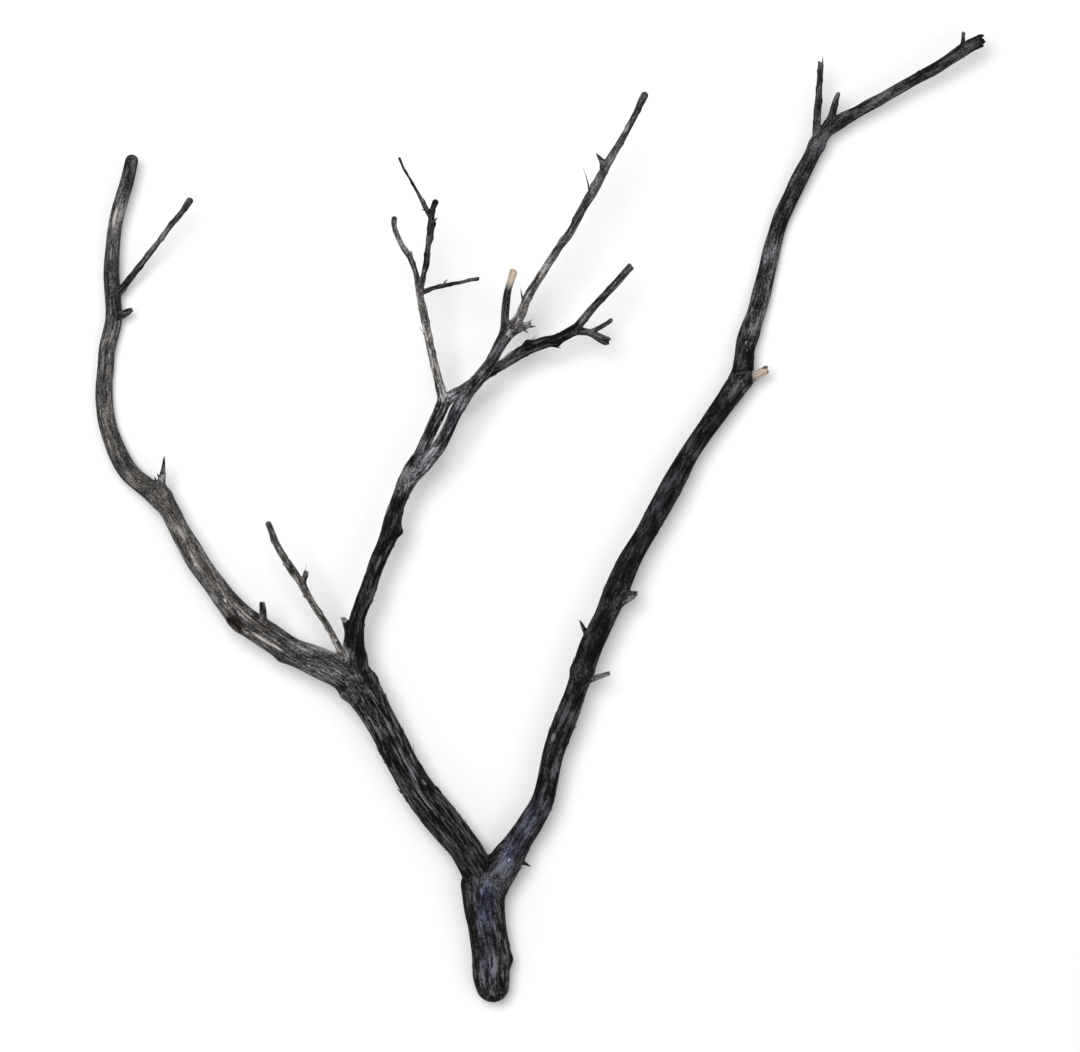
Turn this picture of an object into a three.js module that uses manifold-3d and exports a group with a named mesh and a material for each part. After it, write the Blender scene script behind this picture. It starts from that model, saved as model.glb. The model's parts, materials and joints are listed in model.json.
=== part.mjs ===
// A fallen tree branch, dead and weathered, lying flat on the ground.
//
// Units are millimetres. +X is to the right and +Y runs from the butt to the tips, seen from above;
// +Z is up and the ground is z = 0. The branch lies on three of its limbs: the butt, the outer bend
// of the left leader and the lower bow of the right limb. It is split where it forks, and every
// limb, twig and broken stub is a solid of its own.
//
// A limb is a list of stations from its root to its tip. Each station is
// [x, y, z, radius] of the round section there, and a smooth curve joins them.

import * as THREE from 'three';
import { mergeVertices } from 'three/addons/utils/BufferGeometryUtils.js';
import Module from 'manifold-3d';

const wasm = await Module();
wasm.setup();

// Driving dimensions
const GROUND = 0;             // height of the ground; wood that would dip below it is worn flat there
const JOINT_GAP = 0.3;        // clearance between a limb and the limb it grows from
const LIMB_SIDES = 12;        // corners of a thick limb's section
const TWIG_SIDES = 8;         // corners of a thin twig's section
const RING_SPACING = 20;      // about how far apart the rings of a limb are
const MERGE_DISTANCE = 0.0001;

// The two places where three limbs meet
const LOWER_FORK = [-60, -392, 27];
const MIDDLE_FORK = [-205, -160, 46];

// How a limb ends: extra rings past the last station as [forward, radius], in shares of the last
// radius, and how far forward of the last ring the middle of the end is.
const ROUNDED = { rings: [[0.5, 0.87], [0.87, 0.5]], middle: 0.13 };
const BROKEN = { rings: [[0.25, 0.82]], middle: 0.2 };
const CUT = { rings: [[0.12, 0.94]], middle: 0.02 };
const POINTED = { rings: [], middle: 2.2 };

const FINISHES = {
  darkBark: { color: 0x35343a, roughness: 0.82, metalness: 0 },
  weatheredWood: { color: 0x54504d, roughness: 0.78, metalness: 0 },
  twigBark: { color: 0x4a4744, roughness: 0.8, metalness: 0 },
  freshWood: { color: 0xc9ad95, roughness: 0.7, metalness: 0 },
};

/**
 * Works out the rings of a limb: centre, direction and radius from root to tip.
 * `grow` makes the whole limb fatter, for cutting the limbs that grow from it.
 */
function ringsAlong(stations, tip, grow) {
  const points = stations.map(([x, y, z]) => new THREE.Vector3(x, y, z));
  const route = new THREE.CatmullRomCurve3(points, false, 'centripetal');
  const stretches = stations.length - 1;
  const rings = [];
  for (let stretch = 0; stretch < stretches; stretch += 1) {
    const length = points[stretch].distanceTo(points[stretch + 1]);
    const steps = Math.max(1, Math.round(length / RING_SPACING));
    const [from, to] = [stations[stretch][3], stations[stretch + 1][3]];
    const isLast = stretch === stretches - 1;
    for (let step = 0; step < steps + (isLast ? 1 : 0); step += 1) {
      const share = step / steps;
      const along = (stretch + share) / stretches;
      rings.push({
        centre: route.getPoint(along),
        direction: route.getTangent(along),
        radius: THREE.MathUtils.lerp(from, to, share) + grow,
      });
    }
  }
  const end = rings.at(-1);
  for (const [forward, narrowing] of tip.rings) {
    rings.push({
      centre: end.centre.clone().addScaledVector(end.direction, forward * end.radius),
      direction: end.direction,
      radius: end.radius * narrowing,
    });
  }
  return { rings, middle: tip.middle * end.radius };
}

/** Bends a plain cylinder so that its rings follow a limb's rings. */
function limbGeometry({ stations, tip, sides }, grow = 0) {
  const { rings, middle } = ringsAlong(stations, tip, grow);
  const last = rings.length - 1;
  const halfSide = Math.PI / sides;
  const geometry = new THREE.CylinderGeometry(1, 1, 1, sides, last, false, halfSide);
  const position = geometry.getAttribute('position');
  const skyward = new THREE.Vector3(0, 0, 1);
  const corner = new THREE.Vector3();
  for (let index = 0; index < position.count; index += 1) {
    corner.fromBufferAttribute(position, index);
    const ring = rings[Math.round((corner.y + 0.5) * last)];
    const sideways = new THREE.Vector3().crossVectors(ring.direction, skyward).normalize();
    const upward = new THREE.Vector3().crossVectors(sideways, ring.direction);
    const placed = ring.centre.clone();
    placed.addScaledVector(sideways, corner.x * ring.radius);
    placed.addScaledVector(upward, corner.z * ring.radius);
    const isEndMiddle = Math.hypot(corner.x, corner.z) < 0.5 && corner.y > 0;
    placed.addScaledVector(ring.direction, isEndMiddle ? middle : 0);
    placed.z = Math.max(placed.z, GROUND - grow);
    position.setXYZ(index, placed.x, placed.y, placed.z);
  }
  return geometry;
}

/** Turns a closed geometry into a solid that can be cut. */
function solidFrom(geometry) {
  geometry.deleteAttribute('normal');
  geometry.deleteAttribute('uv');
  const closed = mergeVertices(geometry, MERGE_DISTANCE);
  return new wasm.Manifold(new wasm.Mesh({
    numProp: 3,
    vertProperties: new Float32Array(closed.getAttribute('position').array),
    triVerts: new Uint32Array(closed.getIndex().array),
  }));
}

/** Turns a solid back into a geometry. */
function geometryFrom(solid) {
  const { vertProperties, triVerts } = solid.getMesh();
  const geometry = new THREE.BufferGeometry();
  geometry.setAttribute('position', new THREE.BufferAttribute(vertProperties, 3));
  geometry.setIndex(new THREE.BufferAttribute(triVerts, 1));
  geometry.computeVertexNormals();
  return geometry;
}

const branch = new THREE.Group();
const shapes = {};

/**
 * Adds one piece to the branch. `cutBy` names the earlier pieces that it grows from or beside:
 * they keep their shape, and this piece is cut back to leave the joint gap around them.
 */
function addPiece(name, finish, shape, cutBy) {
  let solid = solidFrom(limbGeometry(shape));
  for (const neighbour of cutBy) {
    solid = solid.subtract(solidFrom(limbGeometry(shapes[neighbour], JOINT_GAP)));
  }
  const mesh = new THREE.Mesh(geometryFrom(solid), new THREE.MeshStandardMaterial(finish));
  mesh.name = name;
  shapes[name] = shape;
  branch.add(mesh);
}

/** A thick limb, round in section. */
function addLimb(name, finish, cutBy, tip, stations) {
  addPiece(name, finish, { stations, tip, sides: LIMB_SIDES }, cutBy);
}

/** A thin twig, stub or thorn. */
function addTwig(name, finish, cutBy, tip, stations) {
  addPiece(name, finish, { stations, tip, sides: TWIG_SIDES }, cutBy);
}

/** The butt that the whole branch broke off at, up to the lower fork. It lies on the ground. */
function addButt() {
  // The rounded end is a dome on the first station, so the route starts there and runs up.
  addLimb('butt', FINISHES.darkBark, [], ROUNDED, [
    [-61, -380, 27, 26.5],
    [-61.5, -395, 26, 26],
    [-61, -417, 23.5, 22.5],
    [-57, -444, 21.4, 20.6],
    [-53, -472, 20.1, 21],
    [-53, -490, 19.1, 20],
    [-52, -503, 17.6, 18.5],
  ]);
}

/** The left stem with its furrowed bark, from the lower fork to the middle fork. */
function addLeftStem() {
  addLimb('left_stem', FINISHES.darkBark, ['butt'], ROUNDED, [
    [...LOWER_FORK, 20],
    [-84, -352, 29, 18.5],
    [-110, -317, 31, 18.5],
    [-133, -287, 34, 18],
    [-152, -255, 37, 16.8],
    [-166, -226, 40, 16.5],
    [-182, -197, 43, 17.4],
    [-198, -173, 45, 19.5],
  ]);
}

/** The left limb, bare grey wood that bows outwards, with its leader and their stubs. */
function addLeftLimb() {
  const finish = FINISHES.weatheredWood;
  addLimb('left_limb', finish, ['left_stem'], ROUNDED, [
    [-190, -178, 45, 15],
    [-217, -160, 45, 17.5],
    [-243, -148, 44, 16],
    [-270, -137, 43, 15],
    [-295, -120, 41.5, 15],
    [-321, -103, 40, 14.5],
    [-341, -83, 38, 13.3],
    [-358, -61, 36, 12.2],
    [-376, -35, 34, 11.8],
    [-392, -7, 32, 11.2],
    [-404, 16, 30, 11.2],
    [-418, 36, 27, 12.4],
  ]);
  addTwig('left_low_stub', finish, ['left_limb'], BROKEN, [
    [-298, -114, 43, 9.5],
    [-299.5, -103, 50, 6.2],
    [-301, -92, 55, 3.8],
    [-301.5, -84, 58, 3.3],
  ]);
  addLimb('left_leader', finish, ['left_limb'], ROUNDED, [
    [-415, 34, 27.5, 9],
    [-433, 45, 23, 11.4],
    [-448, 57, 19, 10.9],
    [-463, 80, 14, 10.3],
    [-473, 105, 10.5, 9.9],
    [-478, 133, 9.1, 9.6],
    [-478, 161, 8.8, 9.3],
    [-475, 193, 10, 9.1],
    [-468, 226, 12.5, 9.2],
    [-469, 260, 15.5, 8.8],
    [-468.5, 303, 19, 8],
    [-463, 340, 22, 7.7],
    [-453, 372, 24.5, 7.6],
    [-446.5, 399, 26, 7.3],
  ]);
  addTwig('left_snag', finish, ['left_limb', 'left_leader'], POINTED, [
    [-419, 40, 27, 6.5],
    [-413, 52, 32, 4.2],
    [-411, 63, 36, 2.5],
    [-410, 74, 39, 1.1],
  ]);
  addTwig('left_top_stub', finish, ['left_leader'], BROKEN, [
    [-467, 227, 14, 6.5],
    [-457, 232, 18, 4.5],
    [-448, 236, 21, 3.2],
  ]);
  addTwig('left_twig', FINISHES.twigBark, ['left_leader'], ROUNDED, [
    [-467, 262, 17, 4.6],
    [-447, 273, 22, 3.8],
    [-432, 291, 29, 3.4],
    [-418, 307.5, 37, 3.2],
    [-403, 326, 46, 3.1],
    [-387, 344, 54, 3.3],
    [-380.5, 353, 58, 4],
  ]);
}

/** The dark middle stem that rises from the middle fork, with the stub at its foot. */
function addMiddleStem() {
  addLimb('middle_stem', FINISHES.darkBark, ['left_stem', 'left_limb'], ROUNDED, [
    [...MIDDLE_FORK, 13],
    [-203, -140, 47, 13],
    [-202, -118, 48, 9.8],
    [-199, -100, 49, 8.6],
    [-187, -69, 50, 8.7],
    [-176, -37, 50, 8.8],
    [-164.5, -10, 50, 9.9],
    [-157.5, 17, 51, 9.2],
    [-149, 39, 51.5, 8.8],
    [-140.5, 58, 52, 9.4],
    [-133, 69, 53, 9.6],
  ]);
  addTwig('middle_base_stub', FINISHES.darkBark, ['middle_stem'], BROKEN, [
    [-202, -124, 49, 7.5],
    [-208, -111, 54, 5],
    [-213, -101, 58, 2.8],
  ]);
}

/** The mottled twig that leans out of the middle fork, with its stub. */
function addLowTwig() {
  const finish = FINISHES.twigBark;
  addTwig('low_twig', finish, ['left_stem', 'left_limb', 'middle_stem', 'middle_base_stub'], ROUNDED, [
    [-212, -146, 50, 5.5],
    [-221, -127, 57, 3.6],
    [-230, -109, 64, 3.5],
    [-245, -86, 71, 3.7],
    [-257, -64, 77, 4.2],
    [-268, -47, 83, 4.6],
    [-278, -31, 89, 3.8],
    [-286, -14, 95, 3.8],
    [-292, 2, 100, 3.4],
  ]);
  addTwig('low_twig_stub', finish, ['low_twig'], BROKEN, [
    [-257.5, -64, 77.5, 2.8],
    [-254.5, -57, 81, 3],
    [-252.5, -50, 85, 2.8],
  ]);
}

/** The two boughs of the middle stem: the left one ducks under, the right one crosses over. */
function addMiddleBoughs() {
  addLimb('middle_left', FINISHES.darkBark, ['middle_stem'], ROUNDED, [
    [-137, 62, 51, 7],
    [-130, 78, 49, 7],
    [-122, 96, 48, 6.5],
    [-116, 110, 47.5, 6.9],
    [-109.5, 124, 48, 7.3],
    [-104, 136, 49, 7.5],
  ]);
  addLimb('middle_right', FINISHES.darkBark, ['middle_stem', 'middle_left'], ROUNDED, [
    [-135, 64, 54, 7],
    [-120, 74, 58, 7.8],
    [-111, 84, 60, 7.4],
    [-104, 96, 62, 7],
    [-97, 110, 63.5, 7],
    [-91, 124, 65, 7],
    [-84, 135.5, 66, 7],
    [-74, 150, 66, 7.2],
    [-63, 164, 66, 6.8],
    [-53, 178, 66, 6.6],
    [-43.5, 196, 66, 6.8],
    [-34, 211, 66.5, 8.3],
  ]);
}

/** What grows from the end of the right bough: the sawn stub, the long twig and a torn snag. */
function addLongTwig() {
  const finish = FINISHES.twigBark;
  addTwig('long_twig', finish, ['middle_right'], ROUNDED, [
    [-31, 212, 66.5, 6],
    [-21, 228, 69, 5.5],
    [-14, 247, 73, 4.8],
    [-5, 261.5, 76, 4.5],
    [1, 270.5, 78, 4.5],
    [17, 296, 83, 4.3],
    [33, 317.5, 87, 4.3],
    [45.5, 341.5, 91, 4.7],
    [60, 365.5, 95, 5.2],
    [74, 392.5, 99, 4.5],
    [90, 418.5, 103, 3.6],
    [102.5, 442.5, 107, 3.4],
    [112, 462, 110, 4.3],
  ]);
  addTwig('long_twig_hook', finish, ['long_twig'], POINTED, [
    [72.5, 388, 98.5, 3.4],
    [66, 393, 100.5, 2.8],
    [61.5, 399, 103, 1.2],
  ]);
  addTwig('cut_stub', FINISHES.freshWood, ['middle_right', 'long_twig'], CUT, [
    [-36, 208, 66.5, 6],
    [-38, 224, 70, 4.6],
    [-36, 246, 77, 4.2],
    [-34, 257, 81, 3.9],
    [-31, 267, 85, 4.1],
    [-28.5, 275, 89, 4.4],
  ]);
  addTwig('fork_snag', FINISHES.darkBark, ['middle_right', 'long_twig'], BROKEN, [
    [-30, 212, 66, 5],
    [-19, 216, 66, 5],
    [-11.5, 218.5, 66, 3.6],
  ]);
}

/** The bough that runs under the right one and comes out beyond it, with its own ends. */
function addCrossingBough() {
  addLimb('crossing_bough', FINISHES.darkBark, ['middle_left'], ROUNDED, [
    [-106, 132, 48.5, 6.2],
    [-94.5, 142, 47, 6.4],
    [-84, 148, 45.5, 6.2],
    [-70, 158, 44.5, 5.9],
    [-57, 166.5, 45, 5.7],
    [-43.5, 174, 46.5, 5.7],
    [-22.5, 187.5, 50, 6.3],
    [-2, 197, 53, 6.7],
    [19, 203.5, 56, 5.8],
    [37.5, 212.5, 59, 6],
  ]);
  addTwig('crossing_tip', FINISHES.twigBark, ['crossing_bough'], BROKEN, [
    [36, 211, 59, 5],
    [46, 223, 62, 4.5],
    [57, 236, 66, 4.3],
    [72, 252, 71, 4.1],
    [85.5, 266.5, 76, 4.1],
    [98, 280, 80, 4.3],
  ]);
  addTwig('crossing_spur', FINISHES.darkBark, ['crossing_bough', 'crossing_tip'], BROKEN, [
    [38, 213, 59.5, 4.6],
    [54, 209.5, 61, 3.9],
    [64, 204.5, 62.5, 4.6],
    [72.5, 200.5, 64, 5.3],
  ]);
  addTwig('spur_twig', FINISHES.twigBark, ['crossing_spur'], BROKEN, [
    [55, 208.5, 61.5, 3.2],
    [61.5, 213.5, 65, 2.8],
    [70, 218, 69, 2.5],
    [77, 222.5, 72, 2.7],
  ]);
}

/** The fine twigs in the middle of the branch. */
function addCentreTwigs() {
  const finish = FINISHES.twigBark;
  addTwig('centre_twig', finish, ['middle_left', 'crossing_bough'], ROUNDED, [
    [-105.5, 135, 49.5, 6],
    [-107.5, 147, 53, 5.4],
    [-113, 168.5, 59, 4.6],
    [-118, 190, 65, 4.4],
    [-122, 211.5, 70, 4.4],
    [-126.5, 233, 75, 4.6],
    [-131, 256, 79, 3.6],
    [-133.5, 271, 82, 3],
    [-139, 287, 85, 3.1],
    [-147, 299.5, 88, 3.1],
    [-153.5, 312, 90, 2.9],
    [-157, 322, 92, 2.8],
    [-157, 331, 94, 3],
  ]);
  addTwig('centre_spur', finish, ['centre_twig'], ROUNDED, [
    [-127, 234, 75, 4],
    [-126, 256.5, 80, 3.2],
    [-125.5, 271.5, 84, 3],
    [-123, 282, 87, 3.4],
    [-120.5, 302, 91, 3.2],
    [-118, 317, 94, 4],
    [-117, 332, 98, 3.2],
    [-115.5, 341, 100, 3.2],
    [-112.5, 348, 102, 3.5],
  ]);
  addTwig('centre_tip', finish, ['centre_spur'], ROUNDED, [
    [-117, 337, 99, 2.4],
    [-122.5, 341, 100, 2.8],
    [-127.5, 351, 101, 2.2],
    [-132.5, 360, 102, 1.8],
    [-138.5, 371, 103, 1.5],
    [-146, 383, 104, 1.4],
    [-151, 395, 105, 1.6],
  ]);
  addTwig('centre_side_twig', finish, ['centre_twig', 'centre_spur'], BROKEN, [
    [-126, 252, 79, 2.8],
    [-121, 255, 80, 2.7],
    [-113.5, 257.5, 81, 2.3],
    [-105.5, 259, 82, 2.4],
    [-95, 261.5, 83.5, 2.2],
    [-84.5, 263, 85, 2],
    [-74.5, 265.5, 86.5, 2.1],
    [-66.5, 266.5, 88, 2.5],
  ]);
}

/** The right stem from the lower fork up to the stub of its first side shoot. */
function addRightStem() {
  const finish = FINISHES.darkBark;
  addLimb('right_stem', finish, ['butt', 'left_stem'], ROUNDED, [
    [...LOWER_FORK, 19],
    [-48, -376, 28, 19],
    [-36, -364, 29, 17.5],
    [-24.5, -346, 30, 15],
    [-10, -325, 31.5, 14],
    [2, -302, 33, 12.2],
    [8.5, -277, 34.5, 11.5],
    [14.5, -249.5, 36, 11.7],
    [24, -220, 37, 12],
    [35.5, -190, 38, 12],
    [46, -159, 38, 12.4],
  ]);
  addTwig('right_thorn', finish, ['right_stem'], POINTED, [
    [-32, -365, 29, 7],
    [-19.5, -367, 29.5, 3.6],
    [-12.5, -371, 29.5, 1.3],
  ]);
  addTwig('right_low_stub', finish, ['right_stem'], BROKEN, [
    [42, -175, 38, 6],
    [57, -166.5, 40, 4.2],
    [66, -163.5, 42, 2.9],
    [75, -160.5, 43, 2.5],
  ]);
}

/** The bough that carries the right stem on, with a thorn and a knob, up to the pale stub. */
function addRightBough() {
  const finish = FINISHES.darkBark;
  addLimb('right_bough', finish, ['right_stem'], ROUNDED, [
    [40.5, -175, 38, 11.5],
    [46, -159, 38, 12.4],
    [57, -127, 38, 13],
    [71, -99, 37.5, 12],
    [83.5, -71, 37, 13],
    [97.5, -38, 36.5, 12.8],
    [113.5, -11, 36, 12],
    [127, 14.5, 35, 11.7],
    [144, 44, 33, 11.4],
    [162.5, 77, 30.5, 11],
    [181, 105, 27.5, 11],
    [198.5, 130, 24.5, 11.2],
    [215, 153, 22, 12.3],
    [222, 163, 21, 12.3],
  ]);
  addTwig('right_mid_thorn', finish, ['right_bough'], POINTED, [
    [57, -123, 39, 6.5],
    [48.5, -113, 42, 3.8],
    [44.5, -105.5, 44, 1.6],
  ]);
  addTwig('right_knob', finish, ['right_bough'], BROKEN, [
    [84, -80, 38, 7],
    [96, -77, 39.5, 3.8],
    [104.5, -74, 41, 3.5],
  ]);
}

/** The upper right: the torn pale stub, the bowed limb and the twigs at its end. */
function addRightLimb() {
  const finish = FINISHES.darkBark;
  addLimb('right_limb', finish, ['right_bough'], ROUNDED, [
    [220, 160, 21, 10.5],
    [223, 178, 19, 11.5],
    [226, 200, 16, 11.2],
    [236.5, 232, 12, 10.5],
    [245.5, 265, 9.3, 10],
    [253, 297.5, 9.1, 9.8],
    [262, 330, 10.2, 9.1],
    [272.5, 356, 12.5, 8.9],
    [285, 382, 16, 9.1],
    [296.5, 403.5, 19.5, 8.9],
    [303, 417, 22, 9.2],
  ]);
  addTwig('pale_stub', FINISHES.freshWood, ['right_bough', 'right_limb'], BROKEN, [
    [221, 155, 21, 8],
    [231, 161.5, 22.5, 6.2],
    [240, 166.5, 24.5, 5.1],
    [247.5, 171, 26.5, 4.6],
  ]);
  addLimb('right_tip', finish, ['right_limb'], BROKEN, [
    [300, 411, 21, 7],
    [309, 428, 22.5, 8.3],
    [325.5, 440.5, 25, 7.9],
    [350.5, 455, 28, 6.8],
    [373.5, 467, 31, 6.5],
    [395.5, 479.5, 34, 6.2],
    [416.5, 491.5, 37, 6.2],
    [438, 503, 40, 6.5],
    [458, 516.5, 43, 7],
    [470.5, 524, 45, 7.3],
    [480, 528.5, 46, 7.2],
  ]);
  addTwig('upright_twig', FINISHES.twigBark, ['right_limb', 'right_tip'], BROKEN, [
    [301.5, 416, 22, 6.5],
    [302.5, 432, 25, 5.2],
    [302.8, 444, 29, 4.2],
    [303.8, 464, 35, 3.9],
    [305, 485, 40, 3.4],
    [305.8, 504, 44, 3.3],
  ]);
  addTwig('upright_stub', FINISHES.twigBark, ['right_limb', 'right_tip'], ROUNDED, [
    [312, 431, 23.5, 6.5],
    [317.5, 441, 27, 5.6],
    [319.5, 450, 30, 4.3],
    [322, 461, 34, 3.4],
    [325, 471, 38, 2.6],
  ]);
  addTwig('tip_stub', FINISHES.twigBark, ['right_tip'], BROKEN, [
    [459, 518, 44, 4],
    [460.3, 525, 48, 2.6],
    [460, 531, 51, 1.9],
    [460.5, 536, 53.5, 2.2],
  ]);
}

addButt();
addLeftStem();
addLeftLimb();
addMiddleStem();
addLowTwig();
addMiddleBoughs();
addLongTwig();
addCrossingBough();
addCentreTwigs();
addRightStem();
addRightBough();
addRightLimb();

// The origin is on the ground, below the middle of the whole branch.
const middle = new THREE.Box3().setFromObject(branch).getCenter(new THREE.Vector3());
branch.position.set(-middle.x, -middle.y, 0);

export default branch;
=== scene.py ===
"""Looks of a fallen tree branch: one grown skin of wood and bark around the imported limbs.

The frame gives each limb as a faceted tube. Its rings are read back, the limbs are grown together
into one skin with fillets at the forks, and the skin is furrowed, marked and split again, so that
each piece stands for one limb. Flakes, fibres, buds and splinters are set on it afterwards.
Everything is in metres, in the frame's own axes, with the ground at z = 0.
"""

import json
import logging
import math
from dataclasses import dataclass, field
from enum import Enum

import bpy
import numpy as np
import openvdb
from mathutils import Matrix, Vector

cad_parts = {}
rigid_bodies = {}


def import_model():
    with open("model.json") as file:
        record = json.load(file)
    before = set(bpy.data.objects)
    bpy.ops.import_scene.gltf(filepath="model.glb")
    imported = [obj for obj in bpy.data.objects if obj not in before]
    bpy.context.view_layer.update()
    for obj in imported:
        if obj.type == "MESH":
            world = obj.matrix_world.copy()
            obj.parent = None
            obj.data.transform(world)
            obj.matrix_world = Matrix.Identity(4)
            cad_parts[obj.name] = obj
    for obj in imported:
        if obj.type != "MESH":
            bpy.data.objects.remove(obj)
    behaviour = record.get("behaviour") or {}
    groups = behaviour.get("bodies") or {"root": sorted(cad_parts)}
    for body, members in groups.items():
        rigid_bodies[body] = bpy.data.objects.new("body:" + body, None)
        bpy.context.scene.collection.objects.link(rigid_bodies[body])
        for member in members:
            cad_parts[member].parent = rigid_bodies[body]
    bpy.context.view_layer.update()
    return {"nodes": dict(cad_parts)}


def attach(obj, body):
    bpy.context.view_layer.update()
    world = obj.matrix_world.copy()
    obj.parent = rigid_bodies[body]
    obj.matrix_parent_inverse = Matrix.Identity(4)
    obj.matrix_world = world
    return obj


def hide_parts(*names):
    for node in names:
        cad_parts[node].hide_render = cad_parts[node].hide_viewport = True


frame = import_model()

logging.basicConfig(level=logging.INFO, format="%(levelname)s %(message)s")
log = logging.getLogger("branch")

MM = 0.001
BODY = "root"
LIMB_SIDES = 12
TWIG_SIDES = 8
WELD = 0.01 * MM
VOXEL = 0.9 * MM


class Tip(Enum):
    """How a limb ends."""

    ROUNDED = "rounded"
    BROKEN = "broken"
    SAWN = "sawn"
    POINTED = "pointed"

    @property
    def end_rings(self) -> int:
        """How many rings this end adds to the limb's node past the last station."""
        return {Tip.ROUNDED: 2, Tip.POINTED: 0}.get(self, 1)


class Slot(Enum):
    """The record's material slots."""

    DARK_BARK = "dark_bark"
    WEATHERED_WOOD = "weathered_wood"
    TWIG_BARK = "twig_bark"
    FRESH_WOOD = "fresh_wood"


@dataclass(frozen=True)
class LimbPlan:
    """What a limb is like, beside the shape that its node gives.

    Tone is the wood's brightness at the root and at the tip. Bare is 0 for bark and 1 for grey
    wood that has lost its bark. Furrow is the depth of the furrows, in millimetres.
    """

    name: str
    parent: str | None
    slot: Slot
    tip: Tip
    tone: tuple[float, float]
    bare: tuple[float, float] = (0.0, 0.0)
    furrow: float = 0.4
    sides: int = TWIG_SIDES


def thick(name: str, parent: str | None, slot: Slot, tip: Tip, **details: object) -> LimbPlan:
    """A limb with the CAD model's thick section."""
    return LimbPlan(name, parent, slot, tip, sides=LIMB_SIDES, **details)


BARK, GREY, TWIG, FRESH = Slot.DARK_BARK, Slot.WEATHERED_WOOD, Slot.TWIG_BARK, Slot.FRESH_WOOD

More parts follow.
